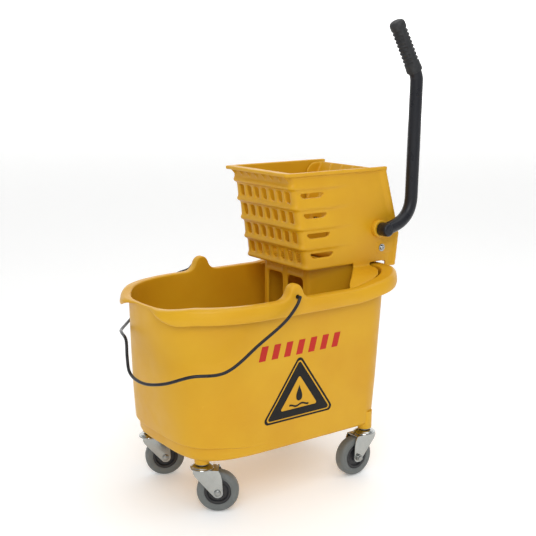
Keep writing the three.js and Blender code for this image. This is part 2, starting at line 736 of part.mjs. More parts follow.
// A group on the line x = centreX: what is built for the far side stands turned round on the near side.
function turnedRound(centreX, side) {
  const group = new THREE.Group();
  group.position.x = centreX;
  group.rotation.z = side < 0 ? Math.PI : 0;
  part.add(group);
  return group;
}

function addShaft() {
  const { half } = basket;
  const nearEnd = -half - bush.nearFlange - clearance;
  const farEnd = half + bush.farFlange + 5;
  addMesh("press_shaft", hexagonY(shaft.x, shaft.z, shaft.acrossFlats, nearEnd, farEnd), zincSteel);
  const clipBody = cylinderY(shaft.x, shaft.z, 14, half + bush.farFlange + 2 * clearance, farEnd - 1);
  const clipBore = hexagonY(shaft.x, shaft.z, shaft.acrossFlats + 2 * clearance, 0, farEnd + 1);
  addMesh("shaft_retainer", cut(clipBody, clipBore), blackNylon);
}

function addBushes() {
  const corner = shaft.acrossFlats / 2 / Math.cos(Math.PI / 6);
  for (const [name, side] of Object.entries(sides)) {
    const face = basket.half + clearance;
    const flangeWidth = name === "near" ? bush.nearFlange : bush.farFlange;
    const sleeve = cylinderY(0, shaft.z, bush.sleeveDiameter / 2, basket.half - basket.wall - 6, face + 1);
    const collar = cylinderY(0, shaft.z, bush.flangeDiameter / 2, face, basket.half + flangeWidth, 28);
    const bore = cylinderY(0, shaft.z, corner + runningClearance, 0, basket.half + 40);
    addMesh(`shaft_bush_${name}`, cut(join(sleeve, collar), bore), yellowPlastic, turnedRound(shaft.x, side));
  }
}

function addPinions() {
  const phase = rad(gear.angle) + Math.PI;
  const outline = placed(toothPoints(gear.pinionTeeth, 0, gear.pinionTeeth, phase), shaft.x, shaft.z);
  const bore = hexagonY(shaft.x, shaft.z, shaft.acrossFlats + 2 * clearance, -100, 100);
  for (const [name, side] of Object.entries(sides)) {
    const middle = side * gear.y;
    const body = slabXZ(shapeOf(outline), middle - gear.width / 2, middle + gear.width / 2);
    addMesh(`shaft_gear_${name}`, cut(body, bore), whiteNylon);
  }
}

// The plate leans back from its pivot rod to its top edge.
const lean = Math.atan2(plate.topZ - pivot.y, plate.topX - pivot.x);
const along = (u, v) => [
  pivot.x + u * Math.cos(lean) + v * Math.sin(lean),
  pivot.y + u * Math.sin(lean) - v * Math.cos(lean),
];

function addPressPlate() {
  const length = Math.hypot(plate.topX - pivot.x, plate.topZ - pivot.y);
  const halfThickness = plate.thickness / 2;
  const panel = slabXZ(shapeOf([
    along(4, -halfThickness), along(length, -halfThickness), along(length, halfThickness), along(4, halfThickness),
  ]), -plate.half, plate.half);
  const knuckle = cylinderY(pivot.x, pivot.y, plate.knuckle / 2, -plate.half, plate.half, 16);
  const wingFootZ = pivot.y + (plate.wingX - pivot.x) * Math.tan(lean);
  const wingShape = new THREE.Shape();
  wingShape.moveTo(plate.wingX, wingFootZ);
  wingShape.lineTo(...along(length, 0));
  wingShape.lineTo(plate.wingX + plate.wingRound, plate.topZ);
  wingShape.absarc(plate.wingX + plate.wingRound, plate.topZ - plate.wingRound, plate.wingRound,
    Math.PI / 2, Math.PI, false);
  const wings = Object.values(sides).map((side) => {
    const inner = side * (plate.half - plate.thickness);
    const outer = side * plate.half;
    return slabXZ(wingShape, Math.min(inner, outer), Math.max(inner, outer), 5);
  });
  const holes = [];
  for (let row = 0; row < 4; row += 1) {
    for (const y of [-34, 0, 34]) {
      const low = 52 + row * 32;
      const shape = shapeOf([along(low, -6), along(low + 18, -6), along(low + 18, 6), along(low, 6)]);
      holes.push(slabXZ(shape, y - 9, y + 9));
    }
  }
  const rodBore = cylinderY(pivot.x, pivot.y, rod.diameter / 2 + runningClearance, -100, 100, 12);
  addMesh("press_plate", cut(join(panel, knuckle, ...wings), rodBore, ...holes), yellowPlastic);
}

function addSectors() {
  const behind = plate.thickness / 2 + clearance;
  const phase = rad(gear.angle) + Math.PI / gear.sectorTeeth;
  const teeth = placed(toothPoints(gear.sectorTeeth, -6, 7, phase), pivot.x, pivot.y);
  const web = [along(12, behind), along(12, 12), ...teeth, along(60, behind)];
  for (const [name, side] of Object.entries(sides)) {
    const middle = side * gear.y;
    const body = slabXZ(shapeOf(web), middle - gear.width / 2, middle + gear.width / 2);
    addMesh(`plate_gear_${name}`, body, whiteNylon);
  }
}

function addSmallHardware() {
  const reach = basket.half - basket.wall + rod.seatDepth - clearance;
  addMesh("plate_pivot_rod", cylinderY(pivot.x, pivot.y, rod.diameter / 2, -reach, reach, 12), zincSteel);
  for (const [name, side] of Object.entries(sides)) {
    const face = basket.half + screw.padHeight + clearance;
    const shank = cylinderY(0, screw.z, 2, basket.half - basket.wall - 4, face + 1, 10);
    const head = cylinderY(0, screw.z, screw.headDiameter / 2, face, face + screw.headHeight, 14);
    addMesh(`side_screw_${name}`, join(shank, head), chromeSteel, turnedRound(screw.x, side));
  }
}

// ---------------------------------------------------------------- hand lever

const leverY = -(basket.half + bush.nearFlange + 2 * clearance + lever.diameter / 2);

// Points of a planar bar through corners, each corner rounded by its own radius.
function roundedPath(corners, y) {
  const path = new THREE.CurvePath();
  let from = corners[0].at;
  for (let i = 1; i < corners.length - 1; i += 1) {
    const here = corners[i].at;
    const back = corners[i - 1].at.clone().sub(here).normalize();
    const ahead = corners[i + 1].at.clone().sub(here).normalize();
    const half = Math.acos(back.dot(ahead)) / 2;
    const reach = corners[i].radius / Math.tan(half);
    const start = here.clone().addScaledVector(back, reach);
    const end = here.clone().addScaledVector(ahead, reach);
    path.add(lineAt(from, start, y));
    path.add(new THREE.QuadraticBezierCurve3(at3(start, y), at3(here, y), at3(end, y)));
    from = end;
  }
  path.add(lineAt(from, corners[corners.length - 1].at, y));
  return path;
}

const at3 = (point, y) => new THREE.Vector3(point.x, y, point.y);
const lineAt = (a, b, y) => new THREE.LineCurve3(at3(a, y), at3(b, y));

const lowerEnd = new THREE.Vector2(shaft.x, shaft.z);
const elbow = new THREE.Vector2(lever.riserX, shaft.z + (lever.riserX - shaft.x) * Math.tan(rad(lever.lowerAngle)));
const bend = new THREE.Vector2(
  lever.riserX + (leverTop.bendZ - elbow.y) * Math.tan(rad(lever.lean)),
  leverTop.bendZ,
);
const gripDirection = new THREE.Vector2(-Math.sin(rad(leverTop.angle)), Math.cos(rad(leverTop.angle)));
const leverEnd = bend.clone().addScaledVector(gripDirection, leverTop.length);

function addLever() {
  const socketRadius = lever.diameter / 2 + 0.5;
  const tubeStart = lowerEnd.clone().add(
    elbow.clone().sub(lowerEnd).normalize().multiplyScalar(socketRadius + 2 + clearance),
  );
  const path = roundedPath([
    { at: tubeStart },
    { at: elbow, radius: lever.elbowRadius },
    { at: bend, radius: leverTop.bendRadius },
    { at: leverEnd },
  ], leverY);
  const outside = circleShape(lever.diameter / 2, 12);
  outside.holes.push(circleShape(lever.diameter / 2 - lever.wall, 12));
  const tube = solid(new THREE.ExtrudeGeometry(outside, { steps: 32, extrudePath: path }));
  addMesh("lever_tube", tube, blackPaint);

  const front = leverY - lever.diameter / 2;
  const socket = turnedY([
    [0, 0], [socketRadius - 6, 0], [socketRadius - 2, 2], [socketRadius, 6],
    [socketRadius, lever.diameter], [0, lever.diameter],
  ], shaft.x, front, shaft.z);
  addMesh("lever_socket", socket, blackPaint);
}

function addGrip() {
  const radius = grip.diameter / 2;
  const bore = lever.diameter / 2 + clearance;
  const depth = grip.length - grip.endWall;
  const sleeve = turned([
    [bore, 0], [radius, 0], [radius, grip.length - 6], [radius - 2, grip.length - 2],
    [radius - 6, grip.length], [0, grip.length], [0, depth], [bore, depth], [bore, 0],
  ], 20);
  const base = leverEnd.clone().addScaledVector(gripDirection, clearance - depth);
  const place = new THREE.Group();
  place.position.set(base.x, leverY, base.y);
  place.rotation.y = -rad(leverTop.angle);
  part.add(place);
  addMesh("lever_grip", sleeve, blackRubber, place);
}

// ---------------------------------------------------------------- assembly

addBucket();
addBail();
for (const [place, spot] of Object.entries(casterPlaces)) addCaster(place, spot);
addBasket();
addRearCover();
addHousing();
addShaft();
addBushes();
addPinions();
addPressPlate();
addSectors();
addSmallHardware();
addLever();
addGrip();

// The origin is the middle of the footprint of the whole object, on the floor.
part.updateMatrixWorld(true);
const bounds = new THREE.Box3().setFromObject(part, true);
part.position.x = -(bounds.min.x + bounds.max.x) / 2;
part.position.y = -(bounds.min.y + bounds.max.y) / 2;
part.position.z = -bounds.min.z;

const mopBucket = new THREE.Group();
mopBucket.add(part);

export default mopBucket;
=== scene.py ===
"""Mop bucket with a side-press wringer: the visible pieces, laid out as a Blender add-on.

Shapes are worked out in millimetres about the point midway between the casters, at floor
level: +X to the wringer, -X to the pouring spout, -Y to the lever, +Z up. Each finished
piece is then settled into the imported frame, in metres.
"""

import json
import math

import bmesh
import bpy
import numpy as np
from mathutils import Matrix, Vector


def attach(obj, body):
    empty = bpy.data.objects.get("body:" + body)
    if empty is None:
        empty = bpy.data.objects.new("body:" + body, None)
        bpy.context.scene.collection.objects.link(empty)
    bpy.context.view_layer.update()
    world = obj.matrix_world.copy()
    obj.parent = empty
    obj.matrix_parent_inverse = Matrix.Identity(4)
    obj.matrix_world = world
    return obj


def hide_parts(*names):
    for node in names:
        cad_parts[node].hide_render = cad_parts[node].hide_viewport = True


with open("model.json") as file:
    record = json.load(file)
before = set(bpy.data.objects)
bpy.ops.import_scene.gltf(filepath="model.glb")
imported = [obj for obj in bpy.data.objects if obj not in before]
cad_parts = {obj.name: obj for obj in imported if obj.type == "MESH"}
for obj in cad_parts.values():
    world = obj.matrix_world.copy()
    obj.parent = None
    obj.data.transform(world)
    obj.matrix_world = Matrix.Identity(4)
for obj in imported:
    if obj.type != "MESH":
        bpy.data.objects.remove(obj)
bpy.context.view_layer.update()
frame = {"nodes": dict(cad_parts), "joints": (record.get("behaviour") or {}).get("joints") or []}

bl_info = {
    "name": "Mop Bucket with Side-Press Wringer",
    "version": (1, 0, 0),
    "blender": (4, 5, 0),
    "location": "View3D > Sidebar > Mop Bucket",
    "description": "Models the bucket, wringer, lever, bail and casters round the packed frame",
    "category": "Object",
}

MM = 0.001
JOINTS = {joint["name"]: joint for joint in frame["joints"]}
SHAFT = (232.0, 474.0)
ORIGIN = Vector(JOINTS["lever_pull"]["pos_m"]) - Vector((SHAFT[0], 0, SHAFT[1])) * MM
TO_FRAME = Matrix.Translation(ORIGIN) @ Matrix.Scale(MM, 4)
PLACES = ("near_spout", "far_spout", "near_rear", "far_rear")
SIDES = {"near": -1, "far": 1}


# ---------------------------------------------------------------- settings


def length(name, description, default):
    return bpy.props.FloatProperty(
        name=name, description=description, default=default, unit="LENGTH", min=0.0
    )


def colour(name, description, default):
    return bpy.props.FloatVectorProperty(
        name=name, description=description, default=default, subtype="COLOR", size=3, min=0, max=1
    )


class BucketSettings(bpy.types.PropertyGroup):
    wall: length("Wall", "Thickness of the moulded wall", 4 * MM)
    lip_gap: length("Lip Gap", "Hollow between the wall and the rolled lip", 11 * MM)
    lip_drop: length("Lip Drop", "Height of the rolled lip's skirt", 24 * MM)
    edge_round: length("Lip Rounding", "Radius along the top of the lip", 8 * MM)


class WringerSettings(bpy.types.PropertyGroup):
    grain: length("Moulding Detail", "Smallest detail kept on the moulded wringer", 1.9 * MM)
    rib_front: length("Front Rib", "How far the front ribs stand out", 6.6 * MM)
    rib_side: length("Side Rib", "How far the side ribs stand out", 3.0 * MM)


class LeverSettings(bpy.types.PropertyGroup):
    tube: length("Tube", "Outer diameter of the lever tube", 25 * MM)
    grip: length("Grip", "Outer diameter of the rubber grip", 30 * MM)
    ribs: bpy.props.IntProperty(name="Grip Ribs", description="Ribs on each side", default=9, min=1)


class CasterSettings(bpy.types.PropertyGroup):
    wheel: length("Wheel", "Outer diameter of the tyre", 76 * MM)
    width: length("Width", "Width of the tyre", 23 * MM)


class FinishSettings(bpy.types.PropertyGroup):
    yellow: colour("Yellow Plastic", "Moulded bucket and wringer", (0.7, 0.385, 0.013))
    black: colour("Black Paint", "Lever and bail", (0.012, 0.013, 0.017))
    rubber: colour("Grip Rubber", "Lever grip", (0.014, 0.015, 0.017))
    nylon: colour("Black Nylon", "Wheel hubs and retainer", (0.014, 0.014, 0.016))
    tyre: colour("Grey Tyre", "Wheel tread", (0.135, 0.145, 0.14))
    red: colour("Red Print", "Row of warning bars", (0.52, 0.03, 0.02))
    ink: colour("Black Print", "Triangle mark", (0.014, 0.013, 0.012))


GROUPS = {
    "mop_bucket_body": BucketSettings,
    "mop_bucket_wringer": WringerSettings,
    "mop_bucket_lever": LeverSettings,
    "mop_bucket_casters": CasterSettings,
    "mop_bucket_finish": FinishSettings,
}


def setting(group, key):
    """A length setting in millimetres."""
    return getattr(getattr(bpy.context.scene, group), key) / MM


# ---------------------------------------------------------------- modelling by operator


def clear():
    if bpy.context.object and bpy.context.object.mode != "OBJECT":
        bpy.ops.object.mode_set(mode="OBJECT")
    bpy.ops.object.select_all(action="DESELECT")


def only(obj):
    clear()
    obj.select_set(True)
    bpy.context.view_layer.objects.active = obj
    return obj


def added(name):
    obj = bpy.context.object
    obj.name = name
    obj.data.name = name
    return obj


def put(obj, points):
    """Moves a mesh's vertices to points, in the mesh's own order."""
    points = np.asarray(points, np.float32).reshape(-1, 3)
    if len(points) != len(obj.data.vertices):
        raise RuntimeError(f"{obj.name} has {len(obj.data.vertices)} vertices for {len(points)} points")
    obj.data.vertices.foreach_set("co", points.ravel())
    obj.data.update()
    return obj


def weld(obj, fill=False, outward=True):
    """Merges doubled vertices, closes open ends if asked, and turns faces outwards."""
    only(obj)
    bpy.ops.object.mode_set(mode="EDIT")
    bpy.ops.mesh.select_all(action="SELECT")
    bpy.ops.mesh.remove_doubles(threshold=1e-3)
    if fill:
        bpy.ops.mesh.fill_holes(sides=0)
        bpy.ops.mesh.select_all(action="SELECT")
    if outward:
        bpy.ops.mesh.normals_make_consistent(inside=False)
    bpy.ops.object.mode_set(mode="OBJECT")
    return obj


def loft(name, rows, ends="point"):
    """A skin through rows of equal count, each row a closed loop; ends close in a point or a face."""
    rows = [np.asarray(row, float) for row in rows]
    if ends == "point":
        first, last = rows[0].mean(0), rows[-1].mean(0)
        rows = [np.tile(first, (len(rows[0]), 1)), *rows, np.tile(last, (len(rows[0]), 1))]
    rows = [np.vstack([row, row[:1]]) for row in rows]
    clear()
    bpy.ops.mesh.primitive_grid_add(x_subdivisions=len(rows[0]) - 1, y_subdivisions=len(rows) - 1)
    obj = put(added(name), np.array(rows))
    return weld(obj, fill=ends == "face")


def slab(name, outline, low, high, axis="Y"):
    """A flat outline pulled straight along Y (outline in XZ) or along Z (outline in XY)."""
    clear()
    bpy.ops.mesh.primitive_circle_add(vertices=len(outline), fill_type="NGON")
    if axis == "Y":
        points, pull = [(a, low, b) for a, b in outline], (0, high - low, 0)
    else:
        points, pull = [(a, b, low) for a, b in outline], (0, 0, high - low)
    obj = put(added(name), points)
    bpy.ops.object.mode_set(mode="EDIT")
    bpy.ops.mesh.select_all(action="SELECT")
    bpy.ops.mesh.extrude_region_move(TRANSFORM_OT_translate={"value": pull})
    bpy.ops.mesh.select_all(action="SELECT")
    bpy.ops.mesh.normals_make_consistent(inside=False)
    bpy.ops.object.mode_set(mode="OBJECT")
    return obj


def block(name, x0, x1, y0, y1, z0, z1):
    return slab(name, [(x0, z0), (x1, z0), (x1, z1), (x0, z1)], min(y0, y1), max(y0, y1))


def spun(name, profile, centre, axis=(0, 0, 1), steps=48):
    """A closed profile of (radius, height) pairs, spun a full turn about an axis through centre."""
    clear()
    bpy.ops.mesh.primitive_circle_add(vertices=len(profile), fill_type="NOTHING")
    turn = Vector((0, 0, 1)).rotation_difference(Vector(axis)).to_matrix()
    points = [turn @ Vector((r, 0, h)) + Vector(centre) for r, h in profile]
    obj = put(added(name), points)
    bpy.ops.object.mode_set(mode="EDIT")
    bpy.ops.mesh.select_all(action="SELECT")
    bpy.ops.mesh.spin(steps=steps, angle=2 * math.pi, center=centre, axis=axis)
    bpy.ops.object.mode_set(mode="OBJECT")
    return weld(obj)


def modified(obj, kind, **values):
    """Adds a modifier, sets it and applies it."""
    only(obj)
    modifier = obj.modifiers.new(kind.title(), kind)
    for key, value in values.items():
        setattr(modifier, key, value)
    bpy.ops.object.modifier_apply(modifier=modifier.name)
    return obj


def combined(target, tools, operation="UNION"):
    """Joins or cuts a target with tools, which are used up."""
    for tool in tools:
        modified(target, "BOOLEAN", operation=operation, solver="MANIFOLD", object=tool)
        if not len(target.data.polygons):
            raise RuntimeError(f"{target.name} came to nothing when {tool.name} was applied")
        bpy.data.objects.remove(tool)
    return target


def bevelled(obj, width, segments=3, angle=40):
    return modified(
        obj, "BEVEL", width=width, segments=segments, limit_method="ANGLE",
        angle_limit=math.radians(angle), use_clamp_overlap=True,
    )


def moulded(obj, detail, rounds=4):
    """Turns sharp joins into the soft ones of a moulding."""
    modified(obj, "REMESH", mode="VOXEL", voxel_size=detail, adaptivity=0.0)
    return modified(obj, "SMOOTH", factor=0.5, iterations=rounds)


def smooth_faces(obj, angle=None):
    only(obj)
    if angle is None:
        bpy.ops.object.shade_smooth()
    else:
        bpy.ops.object.shade_smooth_by_angle(angle=math.radians(angle))
    return obj


def settled(obj, body, material, replaces=()):
    """Puts a finished piece into the frame, in metres, on its body."""
    obj.data.transform(TO_FRAME)
    obj.data.update()
    obj.data.materials.clear()
    obj.data.materials.append(material)
    if replaces:
        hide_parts(*replaces)
    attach(obj, body)
    return obj


def moulding(obj, body, node, angle=None):
    """Settles a finished yellow piece in place of its node."""
    return settled(smooth_faces(obj, angle), body, FINISHES["yellow"], [node])


def rod_profile(radius, start, end):
    """The outline of a plain round bar, for spun()."""
    return [(0, start), (radius, start), (radius, end), (0, end)]


def smoothstep(x, low, high):
    t = np.clip((np.asarray(x, float) - low) / (high - low), 0, 1)
    return t * t * (3 - 2 * t)


def arc(cx, cz, radius, start, end, steps):
    """Points of an arc, in degrees, both ends included."""
    angles = np.radians(np.linspace(start, end, steps + 1))
    return [(cx + radius * math.cos(a), cz + radius * math.sin(a)) for a in angles]


def rounded_box(x0, x1, z0, z1, radius, steps=4):
    return [
        *arc(x1 - radius, z0 + radius, radius, -90, 0, steps),
        *arc(x1 - radius, z1 - radius, radius, 0, 90, steps),
        *arc(x0 + radius, z1 - radius, radius, 90, 180, steps),
        *arc(x0 + radius, z0 + radius, radius, 180, 270, steps),
    ]


def tube_rows(points, radius, sides=24):
    """Rings of a round bar along points; radius may differ from ring to ring."""
    points = np.asarray(points, float)
    radius = np.broadcast_to(radius, len(points))
    tangents = np.gradient(points, axis=0)
    tangents /= np.linalg.norm(tangents, axis=1)[:, None]
    up = np.cross(tangents[0], (0.3, 0.2, 0.9))
    rows = []
    for point, tangent, r in zip(points, tangents, radius):
        up = up - tangent * (up @ tangent)
        up /= np.linalg.norm(up)
        side = np.cross(tangent, up)
        angles = np.linspace(0, 2 * math.pi, sides, endpoint=False)
        rows.append(point + r * (np.outer(np.cos(angles), up) + np.outer(np.sin(angles), side)))
    return rows


def curve_through(points, count):
    """Evenly spaced points of a smooth centripetal curve through points."""
    p = np.asarray(points, float)
    p = np.vstack([2 * p[0] - p[1], p, 2 * p[-1] - p[-2]])
    fine = []
    for i in range(1, len(p) - 2):
        a, b, c, d = p[i - 1 : i + 3]
        t0 = 0.0
        t1 = t0 + np.linalg.norm(b - a) ** 0.5
        t2 = t1 + np.linalg.norm(c - b) ** 0.5
        t3 = t2 + np.linalg.norm(d - c) ** 0.5
        for t in np.linspace(t1, t2, 24, endpoint=False):
            a1 = (t1 - t) / (t1 - t0) * a + (t - t0) / (t1 - t0) * b
            a2 = (t2 - t) / (t2 - t1) * b + (t - t1) / (t2 - t1) * c
            a3 = (t3 - t) / (t3 - t2) * c + (t - t2) / (t3 - t2) * d
            b1 = (t2 - t) / (t2 - t0) * a1 + (t - t0) / (t2 - t0) * a2
            b2 = (t3 - t) / (t3 - t1) * a2 + (t - t1) / (t3 - t1) * a3
            fine.append((t2 - t) / (t2 - t1) * b1 + (t - t1) / (t2 - t1) * b2)
    fine.append(p[-2])
    return evenly(np.array(fine), count)


def evenly(points, count):
    steps = np.linalg.norm(np.diff(points, axis=0), axis=1)
    run = np.concatenate([[0], np.cumsum(steps)])
    wanted = np.linspace(0, run[-1], count)
    return np.stack([np.interp(wanted, run, points[:, k]) for k in range(3)], 1)


# ---------------------------------------------------------------- finishes


class Finish:
    """A material's node tree, with short ways to add and join nodes."""

    def __init__(self, name, base, roughness, metallic=0.0):
        self.material = bpy.data.materials.new(name)
        self.material.use_nodes = True
        self.tree = self.material.node_tree
        self.shader = self.tree.nodes["Principled BSDF"]
        self.shader.inputs["Base Color"].default_value = (*base, 1)
        self.shader.inputs["Roughness"].default_value = roughness
        self.shader.inputs["Metallic"].default_value = metallic
        self.base = base
        self.where = self.node("ShaderNodeTexCoord").outputs["Object"]

    def node(self, kind, **inputs):
        made = self.tree.nodes.new(kind)
        for key, value in inputs.items():
            self.feed(made, key.replace("_", " "), value)
        return made

    def feed(self, node, key, value):
        if isinstance(value, bpy.types.NodeSocket):
            self.tree.links.new(value, node.inputs[key])
        else:
            node.inputs[key].default_value = value

    def noise(self, scale, detail=3.0, roughness=0.5, stretch=None, distortion=0.0):
        where = self.where
        if stretch:
            where = self.node("ShaderNodeMapping", Vector=where, Scale=stretch).outputs[0]
        made = self.node("ShaderNodeTexNoise", Vector=where, Scale=scale, Detail=detail)
        made.inputs["Roughness"].default_value = roughness
        made.inputs["Distortion"].default_value = distortion
        return made.outputs["Fac"]

    def ramp(self, value, low, high, dark=0.0, light=1.0):
        made = self.node("ShaderNodeMapRange", Value=value)
        made.inputs["From Min"].default_value = low
        made.inputs["From Max"].default_value = high
        made.inputs["To Min"].default_value = dark
        made.inputs["To Max"].default_value = light
        return made.outputs["Result"]

    def mixed(self, share, first, second):
        made = self.tree.nodes.new("ShaderNodeMix")
        made.data_type = "RGBA"
        self.tree.links.new(share, made.inputs[0])
        for index, value in ((6, first), (7, second)):
            if isinstance(value, bpy.types.NodeSocket):
                self.tree.links.new(value, made.inputs[index])
            else:
                made.inputs[index].default_value = (*value, 1)
        return made.outputs[2]

    def shade(self, key, value):
        self.tree.links.new(value, self.shader.inputs[key])

    def bumps(self, *heights):
        """Each height is (value, strength, distance in metres)."""
        normal = None
        for value, strength, distance in heights:
            bump = self.node("ShaderNodeBump", Height=value, Strength=strength, Distance=distance)
            if normal:
                self.tree.links.new(normal, bump.inputs["Normal"])
            normal = bump.outputs["Normal"]
        self.shade("Normal", normal)


def tinted(base, factor):
    return tuple(min(1, c * factor) for c in base)


def yellow_plastic(name, base):
    """Satin moulded polyethylene: faint colour drift, fine orange peel, scuffs and worn edges."""
    f = Finish(name, base, 0.4)
    deep = (base[0] * 0.93, base[1] * 0.86, base[2] * 0.7)
    pale = (min(1, base[0] * 1.05), base[1] * 1.1, base[2] * 1.9)
    drift = f.ramp(f.noise(7, 4), 0.35, 0.68)
    body = f.mixed(drift, deep, base)
    scuffs = f.ramp(f.noise(26, 8, 0.72, (1, 1, 6), 0.8), 0.62, 0.74, 0, 0.55)
    body = f.mixed(scuffs, body, pale)
    edge = f.node("ShaderNodeNewGeometry").outputs["Pointiness"]
    body = f.mixed(f.ramp(edge, 0.515, 0.57, 0, 0.45), body, pale)
    f.shade("Base Color", body)
    f.shade("Roughness", f.ramp(f.noise(34, 6, 0.6), 0.3, 0.75, 0.33, 0.5))
    f.shader.inputs["Specular IOR Level"].default_value = 0.3
    f.bumps((f.noise(900, 2), 0.1, 0.0002), (f.noise(55, 3), 0.12, 0.0008))
    return f.material


def enamel(name, base, low=0.24, high=0.42):
    """Glossy coat with orange peel, dust and hairline rubs."""
    f = Finish(name, base, low)
    f.shader.inputs["Specular IOR Level"].default_value = 0.32
    rubs = f.ramp(f.noise(90, 6, 0.7, (1, 1, 0.08), 0.3), 0.6, 0.78, 0, 0.5)
    f.shade("Base Color", f.mixed(rubs, base, tuple(c + 0.035 for c in base)))
    f.shade("Roughness", f.ramp(f.noise(60, 5), 0.3, 0.7, low, high))
    f.bumps((f.noise(420, 2), 0.12, 0.0003))
    return f.material


def rubber(name, base, low=0.5, high=0.72, dust=0.05):
    """Matte rubber with a fine tooth and pale dust in its texture."""
    f = Finish(name, base, low)
    powder = f.ramp(f.noise(75, 8, 0.7), 0.5, 0.75, 0, 0.6)
    f.shade("Base Color", f.mixed(powder, base, tuple(c + dust for c in base)))
    f.shade("Roughness", f.ramp(f.noise(120, 4), 0.3, 0.7, low, high))
    f.bumps((f.noise(1500, 2), 0.2, 0.0002), (f.noise(160, 4), 0.15, 0.0004))
    return f.material


def metal(name, base, low, high, brush=None, strength=0.1):
    """Plated steel: patchy brightness, small pits and faint draw lines."""
    f = Finish(name, base, low, 1.0)
    patches = f.ramp(f.noise(48, 5, 0.65), 0.35, 0.7)
    f.shade("Base Color", f.mixed(patches, tinted(base, 0.86), base))
    f.shade("Roughness", f.ramp(f.noise(110, 5, 0.6, brush), 0.25, 0.75, low, high))
    f.bumps((f.noise(700, 3, 0.5, brush), strength, 0.0002))
    return f.material


def printed(name, base):
    """Screen print: a thin matte ink with small gaps where it has rubbed off."""
    f = Finish(name, base, 0.45)
    f.shader.inputs["Specular IOR Level"].default_value = 0.15
    f.shade(
        "Base Color", f.mixed(
            f.ramp(f.noise(260, 5, 0.7), 0.6, 0.8, 0, 0.35), base, tuple(c + 0.06 for c in base)
        )
    )
    f.shade("Roughness", f.ramp(f.noise(90, 4), 0.3, 0.7, 0.38, 0.55))
    f.bumps((f.noise(900, 2), 0.08, 0.0002))
    return f.material


FINISHES = {}


def make_finishes():
    chosen = bpy.context.scene.mop_bucket_finish
    FINISHES.update(
        yellow=yellow_plastic("Yellow moulded plastic", tuple(chosen.yellow)),
        black=enamel("Black enamel", tuple(chosen.black)),
        rubber=rubber("Black grip rubber", tuple(chosen.rubber), dust=0.02),
        nylon=rubber("Black nylon", tuple(chosen.nylon), 0.34, 0.5, 0.02),
        tyre=rubber("Grey tyre rubber", tuple(chosen.tyre), 0.42, 0.6, 0.06),
        chrome=metal("Bright chrome", (0.44, 0.455, 0.44), 0.07, 0.2, None, 0.05),
        zinc=metal("Zinc plate", (0.36, 0.37, 0.36), 0.24, 0.42, (1, 1, 0.2), 0.12),
        white=rubber("White nylon", (0.62, 0.6, 0.53), 0.35, 0.5, 0.05),
        red=printed("Red print", tuple(chosen.red)),
        ink=printed("Black print", tuple(chosen.ink)),
    )


# ---------------------------------------------------------------- bucket shape

BOTTOM = 98.0
FOOT = 8.0
FLOOR = 103.0
BAND_RECESS = 6.0
SPOUT_X = -60.0
RIM = 380.0
RIM_RISE = 27.0
REAR_LIP_EXTRA = 10.0
PLANS = {
    "z": (106.0, 190.0, 380.0),
    "front": (152.0, 164.0, 180.0),
    "rear": (206.0, 212.0, 225.0),
    "half": (144.0, 148.0, 152.0),
    "power": (3.8, 3.1, 2.3),
    "corner": (46.0, 48.0, 50.0),
}
EAR_X, EAR_CENTRE, EAR_ROUND, EAR_BASE, EAR_HOLE = -19.0, 394.0, 14.0, 33.0, 386.0
EAR_HOLE_FROM = 151.0  # the holes are blind: they start this far from the middle
RISE_FROM, RISE_TO = 112, 256  # where the rim sweeps up towards the wringer
WIDEN_FROM, WIDEN_TO = 110, 200  # where the lip grows wider towards the rear
CASTERS = {
    "near_spout": (-176.0, -95.6, -36.0),
    "far_spout": (-176.0, 95.6, -23.0),
    "near_rear": (176.0, -131.6, 180.0),
    "far_rear": (176.0, 131.6, 196.0),
}
SOCKET = 88.9


def plan_at(z):
    return {key: np.interp(z, PLANS["z"], PLANS[key]) for key in PLANS if key != "z"}


def plan_outline(z):
    """The bucket's plan at one height: spout half, straight sides, rounded rear corners."""
    p = plan_at(z)
    half = []
    for angle in np.linspace(0, math.pi / 2, 44, endpoint=False):
        x = SPOUT_X - p["front"] * math.cos(angle) ** (2 / p["power"])
        half.append((x, p["half"] * math.sin(angle) ** (2 / p["power"])))
    corner_x, corner_y = p["rear"] - p["corner"], p["half"] - p["corner"]
    straight = np.concatenate([np.arange(SPOUT_X, 18, 1.5), np.linspace(18, corner_x, 26)[:-1]])
    half += [(x, p["half"]) for x in straight]
    half += [(corner_x + a, corner_y + b) for a, b in arc(0, 0, p["corner"], 90, 0, 14)]
    half += [(p["rear"], y) for y in np.linspace(corner_y, 0, 10)[1:]]
    return np.array(half + [(x, -y) for x, y in half[-2:0:-1]])


PLAN_Z = np.arange(96.0, 426.0, 3.0)
PLAN_XY = np.array([plan_outline(z) for z in PLAN_Z])
PLAN_OUT = np.roll(PLAN_XY, -1, axis=1) - np.roll(PLAN_XY, 1, axis=1)
PLAN_OUT = np.stack([-PLAN_OUT[..., 1], PLAN_OUT[..., 0]], -1)
PLAN_OUT /= np.linalg.norm(PLAN_OUT, axis=-1)[..., None]
RIM_XY = plan_outline(RIM)


def bucket_row(z, offset):
    """One ring of the bucket: the wall at height z, moved outwards; both may vary round the ring."""
    count = len(RIM_XY)
    z = np.broadcast_to(np.asarray(z, float), count)
    offset = np.broadcast_to(np.asarray(offset, float), count)
    place = np.clip((z - PLAN_Z[0]) / (PLAN_Z[1] - PLAN_Z[0]), 0, len(PLAN_Z) - 1.001)
    low = place.astype(int)
    t = (place - low)[:, None]
    column = np.arange(count)
    xy = PLAN_XY[low, column] * (1 - t) + PLAN_XY[low + 1, column] * t
    out = PLAN_OUT[low, column] * (1 - t) + PLAN_OUT[low + 1, column] * t
    return np.column_stack([xy + out * offset[:, None], z])


